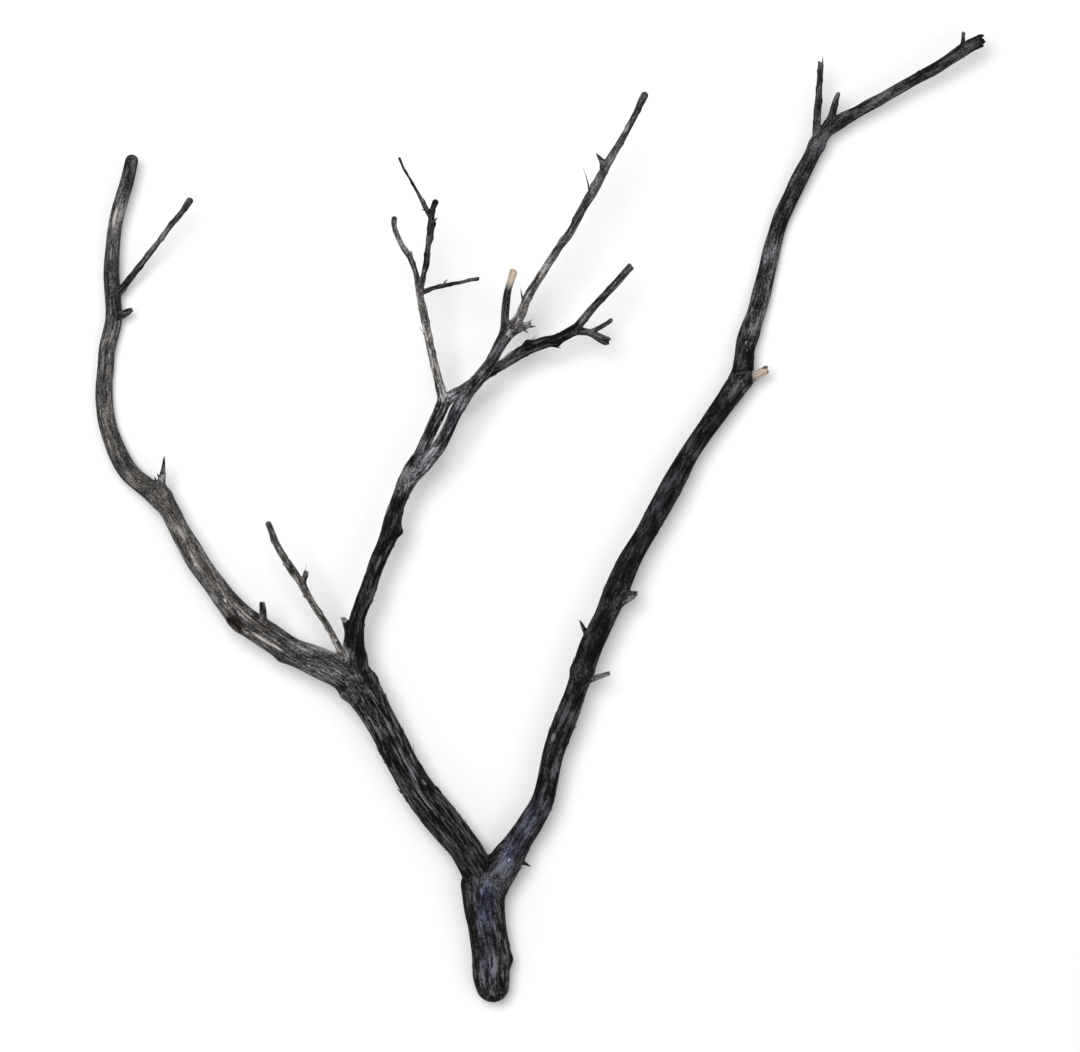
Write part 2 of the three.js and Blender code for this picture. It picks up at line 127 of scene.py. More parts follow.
LIMBS = (
    thick("butt", None, BARK, Tip.ROUNDED, tone=(0.031, 0.043), furrow=0.45),
    thick("left_stem", "butt", BARK, Tip.ROUNDED, tone=(0.019, 0.037), furrow=1.3),
    thick("left_limb", "left_stem", GREY, Tip.ROUNDED, tone=(0.075, 0.090), bare=(0.6, 1), furrow=0.25),
    LimbPlan("left_low_stub", "left_limb", GREY, Tip.BROKEN, (0.048, 0.028), (0.9, 0.2)),
    thick("left_leader", "left_limb", GREY, Tip.ROUNDED, tone=(0.074, 0.070), bare=(1, 0.7), furrow=0.2),
    LimbPlan("left_snag", "left_limb", GREY, Tip.POINTED, (0.090, 0.140), (0.8, 0.5)),
    LimbPlan("left_top_stub", "left_leader", GREY, Tip.BROKEN, (0.085, 0.055), (0.6, 0.4)),
    LimbPlan("left_twig", "left_leader", TWIG, Tip.ROUNDED, (0.038, 0.050), (0.5, 0.4), furrow=0.3),
    thick("middle_stem", "left_stem", BARK, Tip.ROUNDED, tone=(0.014, 0.019), furrow=0.45),
    LimbPlan("middle_base_stub", "middle_stem", BARK, Tip.BROKEN, (0.006, 0.013)),
    LimbPlan("low_twig", "middle_stem", TWIG, Tip.ROUNDED, (0.190, 0.075), (1, 0.6), furrow=0.3),
    LimbPlan("low_twig_stub", "low_twig", TWIG, Tip.BROKEN, (0.055, 0.016), (0.4, 0.5)),
    thick("middle_left", "middle_stem", BARK, Tip.ROUNDED, tone=(0.022, 0.120), furrow=0.5),
    thick("middle_right", "middle_stem", BARK, Tip.ROUNDED, tone=(0.125, 0.031), furrow=0.35),
    LimbPlan("long_twig", "middle_right", TWIG, Tip.ROUNDED, (0.185, 0.042), (0.5, 0.6), furrow=0.3),
    LimbPlan("long_twig_hook", "long_twig", TWIG, Tip.POINTED, (0.010, 0.020), (0.4, 0.2)),
    LimbPlan("cut_stub", "middle_right", FRESH, Tip.SAWN, (0.018, 0.055), (0.1, 1), furrow=0.25),
    LimbPlan("fork_snag", "middle_right", BARK, Tip.BROKEN, (0.008, 0.055), (0.2, 1)),
    thick("crossing_bough", "middle_left", BARK, Tip.ROUNDED, tone=(0.075, 0.012), furrow=0.5),
    LimbPlan("crossing_tip", "crossing_bough", TWIG, Tip.BROKEN, (0.038, 0.105), (0.3, 0.5), furrow=0.3),
    LimbPlan("crossing_spur", "crossing_bough", BARK, Tip.BROKEN, (0.035, 0.05), (0.2, 0.6)),
    LimbPlan("spur_twig", "crossing_spur", TWIG, Tip.BROKEN, (0.03, 0.07), (0.3, 0.4)),
    LimbPlan("centre_twig", "middle_left", TWIG, Tip.ROUNDED, (0.160, 0.090), (0.6, 0.6), furrow=0.3),
    LimbPlan("centre_spur", "centre_twig", TWIG, Tip.ROUNDED, (0.105, 0.011), (0.5, 0.3), furrow=0.3),
    LimbPlan("centre_tip", "centre_spur", TWIG, Tip.ROUNDED, (0.060, 0.030), (0.4, 0.3), furrow=0.2),
    LimbPlan("centre_side_twig", "centre_twig", TWIG, Tip.BROKEN, (0.045, 0.022), (0.4, 0.4), furrow=0.2),
    thick("right_stem", "butt", BARK, Tip.ROUNDED, tone=(0.032, 0.017), furrow=0.35),
    thick("right_bough", "right_stem", BARK, Tip.ROUNDED, tone=(0.012, 0.017), furrow=0.2),
    LimbPlan("right_thorn", "right_stem", BARK, Tip.POINTED, (0.042, 0.022)),
    LimbPlan("right_low_stub", "right_stem", BARK, Tip.BROKEN, (0.050, 0.110), (0, 0.5)),
    LimbPlan("right_mid_thorn", "right_bough", BARK, Tip.POINTED, (0.02, 0.03)),
    LimbPlan("right_knob", "right_bough", BARK, Tip.BROKEN, (0.026, 0.130)),
    thick("right_limb", "right_bough", BARK, Tip.ROUNDED, tone=(0.080, 0.034), bare=(0, 0.3), furrow=0.25),
    LimbPlan("pale_stub", "right_bough", FRESH, Tip.BROKEN, (0.07, 0.30), (0.3, 1), furrow=0.3),
    thick("right_tip", "right_limb", BARK, Tip.BROKEN, tone=(0.046, 0.016), bare=(0.3, 0.3), furrow=0.4),
    LimbPlan("upright_twig", "right_limb", TWIG, Tip.BROKEN, (0.030, 0.040), (0.2, 0.5), furrow=0.3),
    LimbPlan("upright_stub", "right_limb", TWIG, Tip.ROUNDED, (0.010, 0.070), (0.4, 0.4), furrow=0.3),
    LimbPlan("tip_stub", "right_tip", TWIG, Tip.BROKEN, (0.04, 0.035), (0.2, 0.3), furrow=0.2),
)


# ---------------------------------------------------------------------------------------------
# The course of each limb, read from the frame
# ---------------------------------------------------------------------------------------------


def unit(vectors: np.ndarray) -> np.ndarray:
    """Vectors along the last axis, made one long."""
    return vectors / np.maximum(np.linalg.norm(vectors, axis=-1, keepdims=True), 1e-12)


def smooth_step(values: np.ndarray, low: float, high: float) -> np.ndarray:
    """0 below low, 1 above high and a smooth rise between them."""
    share = np.clip((values - low) / (high - low), 0, 1)
    return share * share * (3 - 2 * share)


def name_seed(name: str) -> int:
    """A number for random draws that is a limb's own."""
    return sum(map(ord, name))


@dataclass
class NodeRings:
    """Reads the rings of a limb back from its CAD node, from the tip inwards.

    The middle of a limb's end is the only corner that all of one ring meets, so the rings are
    the rounds of neighbours that spread from it, up to where the limb was cut.
    """

    node: str
    sides: int
    ground_tolerance: float = 0.01 * MM
    roundness: float = 0.06

    def corners_and_neighbours(self) -> tuple[np.ndarray, list[set[int]]]:
        """Merges the node's loose triangles.

        Returns:
            The corners, and for each corner the corners that share an edge with it.
        """
        mesh = frame["nodes"][self.node].data
        loose = np.zeros(len(mesh.vertices) * 3)
        mesh.vertices.foreach_get("co", loose)
        corner_of_loop = np.zeros(len(mesh.loops), int)
        mesh.loops.foreach_get("vertex_index", corner_of_loop)
        loose = loose.reshape(-1, 3)
        _, first, merged = np.unique(
            np.round(loose / WELD), axis=0, return_index=True, return_inverse=True
        )
        triangles = merged.reshape(-1)[corner_of_loop].reshape(-1, 3)
        neighbours: list[set[int]] = [set() for _ in first]
        for triangle in triangles.tolist():
            for corner in triangle:
                neighbours[corner].update(triangle)
        for corner, others in enumerate(neighbours):
            others.discard(corner)
        return loose[first], neighbours

    def ring_middle(self, ring: np.ndarray) -> tuple[np.ndarray, float, float]:
        """Fits a circle to a ring, whose lowest corners may be flattened on the ground.

        Args:
            ring: The ring's corners.

        Returns:
            The middle, the radius, and the largest error of the radius as a share of it.
        """
        free = ring[ring[:, 2] > self.ground_tolerance]
        base = free.mean(axis=0)
        _, _, axes = np.linalg.svd(free - base)
        flat = (free - base) @ axes[:2].T
        terms = np.column_stack([2 * flat, np.ones(len(flat))])
        answer = np.linalg.lstsq(terms, (flat**2).sum(axis=1), rcond=None)[0]
        radius = math.sqrt(answer[2] + answer[0] ** 2 + answer[1] ** 2)
        errors = np.abs(np.linalg.norm(flat - answer[:2], axis=1) / radius - 1)
        return base + answer[:2] @ axes[:2], radius, float(errors.max())

    def read(self, parent: "Limb | None", skip: int) -> tuple[np.ndarray, np.ndarray, np.ndarray]:
        """Finds the rings.

        Args:
            parent: The limb that this one grows from.
            skip: How many rings belong to the end and aren't stations.

        Returns:
            The middles and the radii of the rings from root to tip, and the tip's middle.
        """
        corners, neighbours = self.corners_and_neighbours()
        middles = [i for i, others in enumerate(neighbours) if len(others) == self.sides]
        away = [
            np.linalg.norm(corners[i]) if parent is None else parent.distance(corners[i])
            for i in middles
        ]
        tip = middles[int(np.argmax(away))]
        seen, ring = {tip}, neighbours[tip]
        places, radii, count = [], [], 0
        while len(ring) == self.sides:
            place, radius, error = self.ring_middle(corners[sorted(ring)])
            if error > self.roundness:
                break
            count += 1
            if count > skip:
                places.append(place)
                radii.append(radius)
            seen |= ring
            ring = set().union(*(neighbours[i] for i in ring)) - seen
        return np.array(places[::-1]), np.array(radii[::-1]), corners[tip]


def curve_through(knots: np.ndarray, spacing: float) -> np.ndarray:
    """A smooth curve through rows of numbers: a place, and a radius that never overshoots.

    Args:
        knots: The rows to pass through.
        spacing: About how far apart the rows of the result are.

    Returns:
        The rows along the curve.
    """
    steps = np.linalg.norm(np.diff(knots[:, :3], axis=0), axis=1)
    at = np.concatenate([[0], np.cumsum(steps)])
    slopes = np.gradient(knots, at, axis=0)
    changes = np.diff(knots[:, 3]) / steps
    turning = changes[1:] * changes[:-1] <= 0
    harmonic = 2 * changes[1:] * changes[:-1] / (changes[1:] + changes[:-1] + 1e-12)
    slopes[1:-1, 3] = np.where(turning, 0, harmonic)
    rows = []
    for index, step in enumerate(steps):
        count = max(1, int(round(step / spacing)))
        share = (np.arange(count) / count)[:, None]
        start, end = knots[index], knots[index + 1]
        rows.append(
            (2 * share**3 - 3 * share**2 + 1) * start
            + (share**3 - 2 * share**2 + share) * step * slopes[index]
            + (3 * share**2 - 2 * share**3) * end
            + (share**3 - share**2) * step * slopes[index + 1]
        )
    return np.vstack([*rows, knots[-1:]])


@dataclass
class Limb:
    """One limb's course, with its size, and its own axes at every point.

    Sideways is the limb's right-hand side on the way to its tip, and upward is the side that
    faces the sky. Run is the way along the wood from the butt's broken end.

    Wander is how far the limb strays from its stations, in radii, on waves whose lengths are in
    mean diameters. The stations are kept at the root and the tip. Flare is how fast the limb may
    widen towards its root, and fork taper is how the butt's first two stations are narrowed.
    """

    plan: LimbPlan
    parent: "Limb | None"
    spacing: float = 2.5 * MM
    wander: float = 0.035
    kink_share: float = 0.8
    waves: int = 5
    wave_lengths: tuple[float, float] = (2.0, 7.0)
    root_calm: float = 3.0
    tip_calm: float = 5 * MM
    flare: float = 0.3
    fork_taper: tuple[float, float] = (0.62, 0.92)
    point_share: float = 0.15
    root_depth: float = 0.3
    root_search: float = 4.0
    root_detour: float = 0.15
    thick_share: float = 0.6
    least_radius: float = 0.55 * MM
    points: np.ndarray = field(init=False)
    radii: np.ndarray = field(init=False)
    run: np.ndarray = field(init=False)
    heading: np.ndarray = field(init=False)
    sideways: np.ndarray = field(init=False)
    upward: np.ndarray = field(init=False)
    tip: np.ndarray = field(init=False)
    grown_from: float = field(init=False)

    def __post_init__(self) -> None:
        """Reads the rings, roots the limb in its parent and works out its axes."""
        reader = NodeRings(self.plan.name, self.plan.sides)
        places, radii, self.tip = reader.read(self.parent, self.plan.tip.end_rings)
        knots = np.column_stack([places, radii])
        if self.parent is None:
            knots[0] = (knots[0] + knots[1]) / 2
            knots[:2, 3] *= self.fork_taper
        else:
            knots = np.vstack([self.root_knot(knots), knots])
        if self.plan.tip is Tip.POINTED:
            knots = np.vstack([knots, [*self.tip, self.point_share * radii[-1]]])
        course = curve_through(knots, self.spacing)
        steps = np.linalg.norm(np.diff(course[:, :3], axis=0), axis=1)
        self.run = np.concatenate([[0], np.cumsum(steps)])
        self.points, self.radii = course[:, :3], np.maximum(course[:, 3], self.least_radius)
        self.heading = unit(np.gradient(self.points, axis=0))
        self.sideways = unit(np.cross(self.heading, [0.0, 0.0, 1.0]))
        self.upward = np.cross(self.sideways, self.heading)
        self.wobble()
        start = 0.0 if self.parent is None else self.grown_from
        self.run = self.run[-1] - self.run if self.parent is None else self.run + start

    def root_knot(self, knots: np.ndarray) -> np.ndarray:
        """The knot inside the parent that the limb grows from.

        Args:
            knots: The limb's knots that lie outside the parent.

        Returns:
            One knot, on the parent's middle line, where the limb's own line points back to.
        """
        outer = knots[1] if len(knots) > 1 else np.append(self.tip, 0.8 * knots[0, 3])
        back = unit(knots[0, :3] - outer[:3])
        towards = self.parent.points - knots[0, :3]
        behind = np.clip(towards @ back, 0, self.root_search * self.parent.radii.max())
        misses = np.linalg.norm(towards - behind[:, None] * back, axis=1)
        misses += self.root_detour * behind
        place = int(np.argmin(misses))
        self.grown_from = float(self.parent.run[place])
        distance = np.linalg.norm(towards[place])
        slope = (knots[0, 3] - outer[3]) / np.linalg.norm(knots[0, :3] - outer[:3])
        radius = knots[0, 3] + np.clip(slope, 0, self.flare) * distance
        widest = self.parent.radii[place]
        share = knots[0, 3] / widest
        if share > self.thick_share:
            radius = widest * min(0.5 + 0.5 * share, 1.0)
        most = widest * (1 - self.root_depth * (1 - share))
        return np.append(self.parent.points[place], min(radius, most))

    def wobble(self) -> None:
        """Gives the limb the small swellings and kinks of grown wood."""
        draw = np.random.default_rng(name_seed(self.plan.name))
        to_tip = self.run[-1] - self.run
        fade = smooth_step(self.run, 0, self.root_calm * self.radii[0])
        fade = fade * smooth_step(to_tip, 0, self.tip_calm)
        for share, axis in ((self.kink_share, self.sideways), (self.kink_share, self.upward), (1.0, None)):
            wave = np.zeros(len(self.run))
            for _ in range(self.waves):
                length = draw.uniform(*self.wave_lengths) * self.radii.mean() * 2
                wave += np.sin(2 * math.pi * self.run / length + draw.uniform(0, 2 * math.pi))
            wave *= self.wander * share * fade / 2
            if axis is None:
                self.radii = self.radii * (1 + wave)
            else:
                self.points = self.points + axis * (wave * self.radii)[:, None]

    def distance(self, place: np.ndarray) -> float:
        """How far a place is from the limb's surface."""
        return float((np.linalg.norm(self.points - place, axis=1) - self.radii).min())

    def nearest(self, places: np.ndarray, origin: np.ndarray, first: int = 0, last: int | None = None,
                ) -> tuple[np.ndarray, np.ndarray]:
        """Measures places against the limb.

        Args:
            places: The places, from origin.
            origin: A point near the places, which keeps the sums exact.
            first: The first step of the limb that counts.
            last: The step after the last one that counts.

        Returns:
            The distance from the surface, negative inside, and the step of the nearest point,
            with its fraction.
        """
        starts = (self.points[:-1][first:last] - origin).astype(np.float32)
        steps = np.diff(self.points, axis=0)[first:last].astype(np.float32)
        radii = self.radii[:-1][first:last].astype(np.float32)
        widening = np.diff(self.radii)[first:last].astype(np.float32)
        lengths = (steps**2).sum(axis=1)
        ahead = places @ steps.T - (starts * steps).sum(axis=1)
        share = np.clip(ahead / lengths, 0, 1)
        squares = (places**2).sum(axis=1)[:, None] - 2 * places @ starts.T + (starts**2).sum(axis=1)
        squares += share * (share * lengths - 2 * ahead)
        gaps = np.sqrt(np.maximum(squares, 0)) - radii - share * widening
        best = np.argmin(gaps, axis=1)
        rows = np.arange(len(places))
        return gaps[rows, best], best + first + share[rows, best]

    def at(self, values: np.ndarray, steps: np.ndarray) -> np.ndarray:
        """Reads the limb between its points.

        Args:
            values: What the limb has at each of its points: numbers or rows.
            steps: The steps to read at, with fractions.

        Returns:
            The values there.
        """
        low = np.clip(steps.astype(int), 0, len(values) - 2)
        share = steps - low
        if values.ndim > 1:
            share = share[:, None]
        return values[low] * (1 - share) + values[low + 1] * share

    def stand(self, share: float, side: float) -> tuple[np.ndarray, ...]:
        """Where a mark or a spike stands on the limb.

        Args:
            share: Its share of the way along the limb.
            side: Its angle around the limb, in degrees.

        Returns:
            The place on the middle line, the limb's radius and heading, and the way out from it.
        """
        step = np.array([share * (len(self.points) - 1)])
        angle = math.radians(side)
        outward = self.at(self.sideways, step)[0] * math.sin(angle)
        outward = outward + self.at(self.upward, step)[0] * math.cos(angle)
        course = (self.points, self.radii, self.heading)
        return *(self.at(values, step)[0] for values in course), outward


# ---------------------------------------------------------------------------------------------
# The skin: all limbs grown together
# ---------------------------------------------------------------------------------------------


@dataclass
class Growth:
    """Grows the limbs together into one closed skin.

    The distance to every limb is worked out in blocks of voxels that the limbs touch, joined
    with a fillet where a limb leaves its parent, and meshed. The slants, the depth and the teeth
    of an end are shares of the limb's radius there, and end steps is how many of a limb's last
    steps its end can reach.
    """

    limbs: list[Limb]
    voxel: float
    block: int = 24
    band: int = 3
    fillet_share: float = 0.4
    least_fillet: float = 1.0 * MM
    most_fillet: float = 4.5 * MM
    saw_slant: float = 0.12
    break_slant: float = 0.35
    break_depth: float = 0.25
    tooth_size: float = 0.45
    end_steps: int = 12

    def touched_blocks(self) -> dict[tuple[int, int, int], dict[int, list[int]]]:
        """Finds what each block of voxels has to be measured against.

        Returns:
            For each block, its limbs, and the steps of each of them that reach it.
        """
        size = self.block * self.voxel
        touched: dict[tuple[int, int, int], dict[int, list[int]]] = {}
        for index, limb in enumerate(self.limbs):
            reach = self.band * self.voxel + self.most_fillet
            for step in range(len(limb.points) - 1):
                ends = limb.points[step : step + 2]
                grow = limb.radii[step : step + 2].max() + reach
                low = np.floor((ends.min(axis=0) - grow) / size).astype(int)
                high = np.floor((ends.max(axis=0) + grow) / size).astype(int)
                for x in range(low[0], high[0] + 1):
                    for y in range(low[1], high[1] + 1):
                        for z in range(low[2], high[2] + 1):
                            touched.setdefault((x, y, z), {}).setdefault(index, []).append(step)
        return touched

    def fillet(self, limb: Limb) -> float:
        """The fillet where a limb leaves its parent."""
        size = self.fillet_share * float(limb.radii[: len(limb.radii) // 3 + 1].mean())
        return float(np.clip(size, self.least_fillet, self.most_fillet))

    def end_cut(self, limb: Limb, places: np.ndarray) -> np.ndarray:
        """How far places are beyond a limb's broken or sawn end.

        Args:
            limb: The limb.
            places: The places to measure.

        Returns:
            The distance, which is negative on the limb's side of the end.
        """
        radius = limb.radii[-1]
        away = places - limb.tip
        ahead = away @ limb.heading[-1]
        across = away @ limb.sideways[-1] / radius
        lifted = away @ limb.upward[-1] / radius
        if limb.plan.tip is Tip.SAWN:
            return ahead + self.saw_slant * radius * across
        seed = name_seed(limb.plan.name) % 7
        teeth = np.sin(3.1 * across + seed) * np.cos(2.7 * lifted + 2 * seed)
        teeth += 0.6 * np.sin(7.3 * across + 2 * seed) * np.cos(6.1 * lifted + seed)
        return ahead + radius * (self.break_depth + self.tooth_size * teeth + self.break_slant * across)

    def block_distance(self, places: np.ndarray, origin: np.ndarray, steps: dict[int, list[int]],
                       ) -> np.ndarray:
        """Joins the limbs that reach one block.

        Args:
            places: The block's voxels, from origin.
            origin: The block's corner.
            steps: The steps of each limb that reach the block.

        Returns:
            The signed distance of every voxel.
        """
        joined = np.full(len(places), self.block * self.voxel, np.float32)
        for index in sorted(steps):
            limb = self.limbs[index]
            gaps, _ = limb.nearest(places, origin, steps[index][0], steps[index][-1] + 1)
            at_end = steps[index][-1] > len(limb.points) - self.end_steps
            if at_end and limb.plan.tip in (Tip.BROKEN, Tip.SAWN):
                gaps = np.maximum(gaps, self.end_cut(limb, places + origin))
            size = self.fillet(limb)
            overlap = np.maximum(size - np.abs(joined - gaps), 0) / size
            joined = np.minimum(joined, gaps) - overlap**2 * size / 4
        return joined

    def mesh(self) -> tuple[np.ndarray, np.ndarray]:
        """Meshes the joined limbs.

        Returns:
            The skin's corners, and its four-sided faces.
        """
        edge = self.band * self.voxel
        grid = openvdb.FloatGrid(edge)
        grid.transform = openvdb.createLinearTransform(voxelSize=self.voxel)
        ramp = np.arange(self.block, dtype=np.float32) * self.voxel
        places = np.stack(np.meshgrid(ramp, ramp, ramp, indexing="ij"), axis=-1)
        places = places.reshape(-1, 3).astype(np.float32)
        blocks = self.touched_blocks()
        for corner, steps in blocks.items():
            first = np.array(corner) * self.block
            gaps = self.block_distance(places, first * self.voxel, steps)
            gaps = np.clip(gaps, -edge, edge).reshape(self.block, self.block, self.block)
            grid.copyFromArray(np.ascontiguousarray(gaps), ijk=tuple(int(i) for i in first))
        points, quads = grid.convertToQuads(isovalue=0.0)
        log.info("skin: %d blocks, %d corners, %d faces", len(blocks), len(points), len(quads))
        return np.asarray(points, float), np.asarray(quads, int)


# ---------------------------------------------------------------------------------------------
# What is where on the skin
# ---------------------------------------------------------------------------------------------


class Mark(Enum):
    """What a single mark on the wood is."""

    LUMP = "lump"
    KNOT = "knot"
    PIT = "pit"
    SCAR = "scar"
    # Darker wood; the bands along the left leader's right side are painted shade.
    DARK = "dark"
    # Painted sheen: a bluish reflection painted on the limbs' upper sides.
    BLOOM = "bloom"
    TINT = "tint"


@dataclass(frozen=True)
class MarkPlan:
    """One mark, at a share of its limb's length and at a side of the limb.

    Side is an angle in degrees around the limb: 0 faces the sky, 90 is the limb's right on the
    way to its tip. Length and width are half sizes along and around the limb, and height is how
    far the mark stands proud, all in millimetres. A pit's height is its depth, and a lump with a
    height below 0 is a hollow. Strength is how much the mark colours.
    """

    kind: Mark
    limb: str
    share: float
    side: float
    length: float
    width: float
    height: float = 0.0
    strength: float = 1.0


def marks(limb: str, kind: Mark, *rows: tuple[float, ...]) -> list[MarkPlan]:
    """Marks of one kind on one limb, with the rest of each mark's values in their order."""
    return [MarkPlan(kind, limb, *row) for row in rows]


# The bluish sheen marks are painted light: a reflection painted on the upper sides of the limbs.
MARKS: tuple[MarkPlan, ...] = (
    *marks("butt", Mark.LUMP, (0.76, -90, 9, 9, 3.2), (0.015, 88, 13, 12, 2.2)),
    *marks("butt", Mark.PIT, (0.61, 40, 3.5, 3, 1.2, 0.9)),
    *marks("butt", Mark.SCAR, (0.54, -40, 5, 1.5, 0, 0.35), (0.07, 5, 5, 2.5, 0.5, 0.3)),
    *marks("butt", Mark.DARK, (0.46, 65, 45, 9, 0, 0.6), (0.8, -70, 30, 10, 0, 0.45),
           (0.1, 70, 24, 12, 0, 0.6)),
    *marks("butt", Mark.BLOOM, (0.3, 0, 30, 14, 0, 0.95), (0.76, 15, 26, 10, 0, 0.6),
           (0.06, -15, 18, 13, 0, 0.8)),
    *marks("left_stem", Mark.LUMP, (1, -90, 9, 8, 3), (0.99, 90, 12, 10, 2.5),
           (0.155, -90, 26, 13, -2.8)),
    *marks("left_stem", Mark.KNOT, (0.43, 75, 6, 4, 1, 0.7)),
    *marks("left_stem", Mark.SCAR, (0.43, 0, 26, 0.9, 0.3, 0.4), (0.6, 15, 30, 1, 0.3, 0.35),
           (0.8, 20, 22, 0.9, 0.3, 0.3), (0.25, -25, 20, 0.9, 0.3, 0.3)),
    *marks("left_stem", Mark.DARK, (0.06, 0, 22, 22, 0, 0.5)),
    *marks("left_limb", Mark.LUMP, (0.28, -75, 10, 8, 2.5)),
    *marks("left_limb", Mark.KNOT, (0.47, -38, 14, 9.5, 2.4, 1)),
    *marks("left_limb", Mark.SCAR, (0.37, -22, 18, 2.2, 0.5, 1), (0.31, -16, 10, 1.5, 0.4, 1),
           (0.83, 5, 12, 3, 0.2, 0.5), (0.78, -65, 16, 2, 0.2, 0.9), (0.71, -15, 3, 1.6, 0.3, 0.9),
           (0.58, -40, 9, 5, 0.2, 0.35), (0.55, 0, 3.4, 1.5, 0.4, 1), (0.72, -5, 20, 2.5, 0, 0.3),
           (0.15, 70, 16, 4, 0.3, 0.4)),
    *marks("left_limb", Mark.DARK, (0.74, -35, 14, 1.5, 0, 0.8), (0.49, -42, 6, 3.5, 0, 0.9),
           (0.31, -60, 28, 4.5, 0, 0.6), (0.43, 60, 9, 7, 0, 0.85), (0.63, -90, 30, 3, 0, 0.5)),
    *marks("left_limb", Mark.TINT, (0.4, 35, 14, 12, 0, 0.35)),
    *marks("left_low_stub", Mark.SCAR, (1.0, 90, 9, 5, 0, 0.4)),
    *marks("left_leader", Mark.SCAR, (0.84, -10, 15, 2.2, 0.2, 1), (0.74, -5, 10, 1.4, 0.2, 0.45),
           (0.43, -15, 20, 1.6, 0, 0.3)),
    # The two dark bands along the leader's right side, at side 90, are painted shade.
    *marks("left_leader", Mark.DARK, (0.81, 90, 45, 4.5, 0, 0.5), (0.98, 0, 24, 40, 0, 0.55),
           (0.63, 90, 30, 4, 0, 0.45)),
    *marks("middle_stem", Mark.LUMP, (0.7, 80, 7, 6, 4), (0.12, 90, 10, 8, 2)),
    *marks("middle_stem", Mark.SCAR, (0.78, -65, 9, 4, 0.3, 0.22), (0.54, 10, 13, 1.8, 0.2, 0.2),
           (0.94, -40, 12, 4, 0.4, 0.25)),
    *marks("middle_base_stub", Mark.SCAR, (1.0, 0, 4, 9, 0, 0.5)),
    *marks("low_twig", Mark.DARK, (0.37, 25, 6, 3.4, 0, 0.9), (0.7, -10, 7, 4, 0, 0.8),
           (0.78, -5, 8, 3, 0, 0.7), (0.9, 5, 10, 2.5, 0, 0.6)),
    *marks("low_twig_stub", Mark.SCAR, (1.0, 0, 4, 60, 0, 0.2)),
    *marks("middle_left", Mark.SCAR, (0.71, 55, 2.5, 1, 0.2, 0.8)),
    *marks("middle_right", Mark.SCAR, (0.46, -90, 2, 1, 0.2, 0.9)),
    *marks("middle_right", Mark.BLOOM, (0.44, -5, 26, 6, 0, 0.4)),
    *marks("long_twig", Mark.LUMP, (0.62, -40, 4, 4, 1.9), (0.71, -55, 5, 4, 3.4),
           (0.39, -70, 5, 4, 1.2)),
    *marks("long_twig", Mark.SCAR, (0.86, -25, 7, 3, 0.2, 0.4)),
    *marks("long_twig", Mark.DARK, (0.68, -25, 9, 5, 0, 0.6)),
    *marks("cut_stub", Mark.SCAR, (1.0, 0, 23, 60, 0, 0.95)),
    *marks("cut_stub", Mark.DARK, (0.8, 50, 9, 0.7, 0, 0.5)),
    *marks("fork_snag", Mark.SCAR, (1.0, 0, 6, 60, 0, 0.3)),
    *marks("crossing_bough", Mark.LUMP, (0.68, -80, 7, 5, 3.4), (0.61, -55, 4, 3, 1.6),
           (0.86, 75, 6.5, 5, 3.4)),
    *marks("crossing_bough", Mark.SCAR, (0.52, -50, 12, 1.6, 0, 0.4)),
    *marks("crossing_bough", Mark.DARK, (0.68, -55, 9, 6, 0, 0.8), (0.86, 30, 8, 6, 0, 0.7)),
    *marks("centre_twig", Mark.LUMP, (0.79, 90, 4, 3, 1.4)),
    *marks("centre_spur", Mark.LUMP, (0.76, 90, 5, 4, 2.4), (0.33, 25, 5, 4, 1.6)),
    *marks("centre_spur", Mark.DARK, (0.33, 25, 7, 5, 0, 0.6)),
    *marks("right_stem", Mark.LUMP, (1, -55, 8, 8, 1.6)),
    *marks("right_stem", Mark.SCAR, (0.18, 5, 2.6, 1.2, 0.3, 1), (0.71, -30, 7, 3, 0.4, 0.35)),
    *marks("right_stem", Mark.DARK, (0.2, -90, 40, 7, 0, 0.45)),
    *marks("right_stem", Mark.BLOOM, (0.22, -5, 36, 16, 0, 0.8), (0.39, -10, 26, 10, 0, 0.7)),
    *marks("right_bough", Mark.LUMP, (0.32, -35, 9, 8, 1.6)),
    *marks("right_bough", Mark.BLOOM, (0.55, -20, 50, 7, 0, 0.3)),
    *marks("right_limb", Mark.SCAR, (0.14, -5, 2.5, 1.1, 0.2, 0.6), (0.11, 10, 2, 1, 0.2, 0.5)),
    *marks("right_limb", Mark.DARK, (0.05, 0, 28, 40, 0, 0.75), (0.94, 0, 20, 40, 0, 0.4)),
    *marks("right_limb", Mark.BLOOM, (1, 35, 9, 6, 0, 0.6), (0.41, -30, 35, 5, 0, 0.3)),
    *marks("pale_stub", Mark.SCAR, (1.0, 0, 20, 60, 0, 1.0)),
    *marks("pale_stub", Mark.DARK, (0.2, 35, 5, 12, 0, 0.9), (1.0, -50, 4, 4, 0, 0.9),
           (0.7, 30, 9, 0.8, 0, 0.7), (0.75, -10, 8, 0.7, 0, 0.6)),
    *marks("pale_stub", Mark.TINT, (0.8, 0, 14, 20, 0, 0.4)),
)


def twig_swellings(plan: LimbPlan, length: float) -> list[MarkPlan]:
    """The small swellings where leaves and shoots once stood on a twig.

    Args:
        plan: The twig.
        length: Its length.

    Returns:
        The marks, at uneven steps and alternate sides.
    """
    draw = np.random.default_rng(name_seed(plan.name) + 5)
    marks, at, side = [], draw.uniform(10, 18) * MM, 1
    while at < length - 4 * MM:
        angle = side * draw.uniform(40, 110)
        size = draw.uniform(1.6, 3.4)
        marks.append(MarkPlan(Mark.LUMP, plan.name, at / length, angle, 1.4 * size, size, 0.28 * size))
        at, side = at + draw.uniform(9, 26) * MM, -side
    return marks


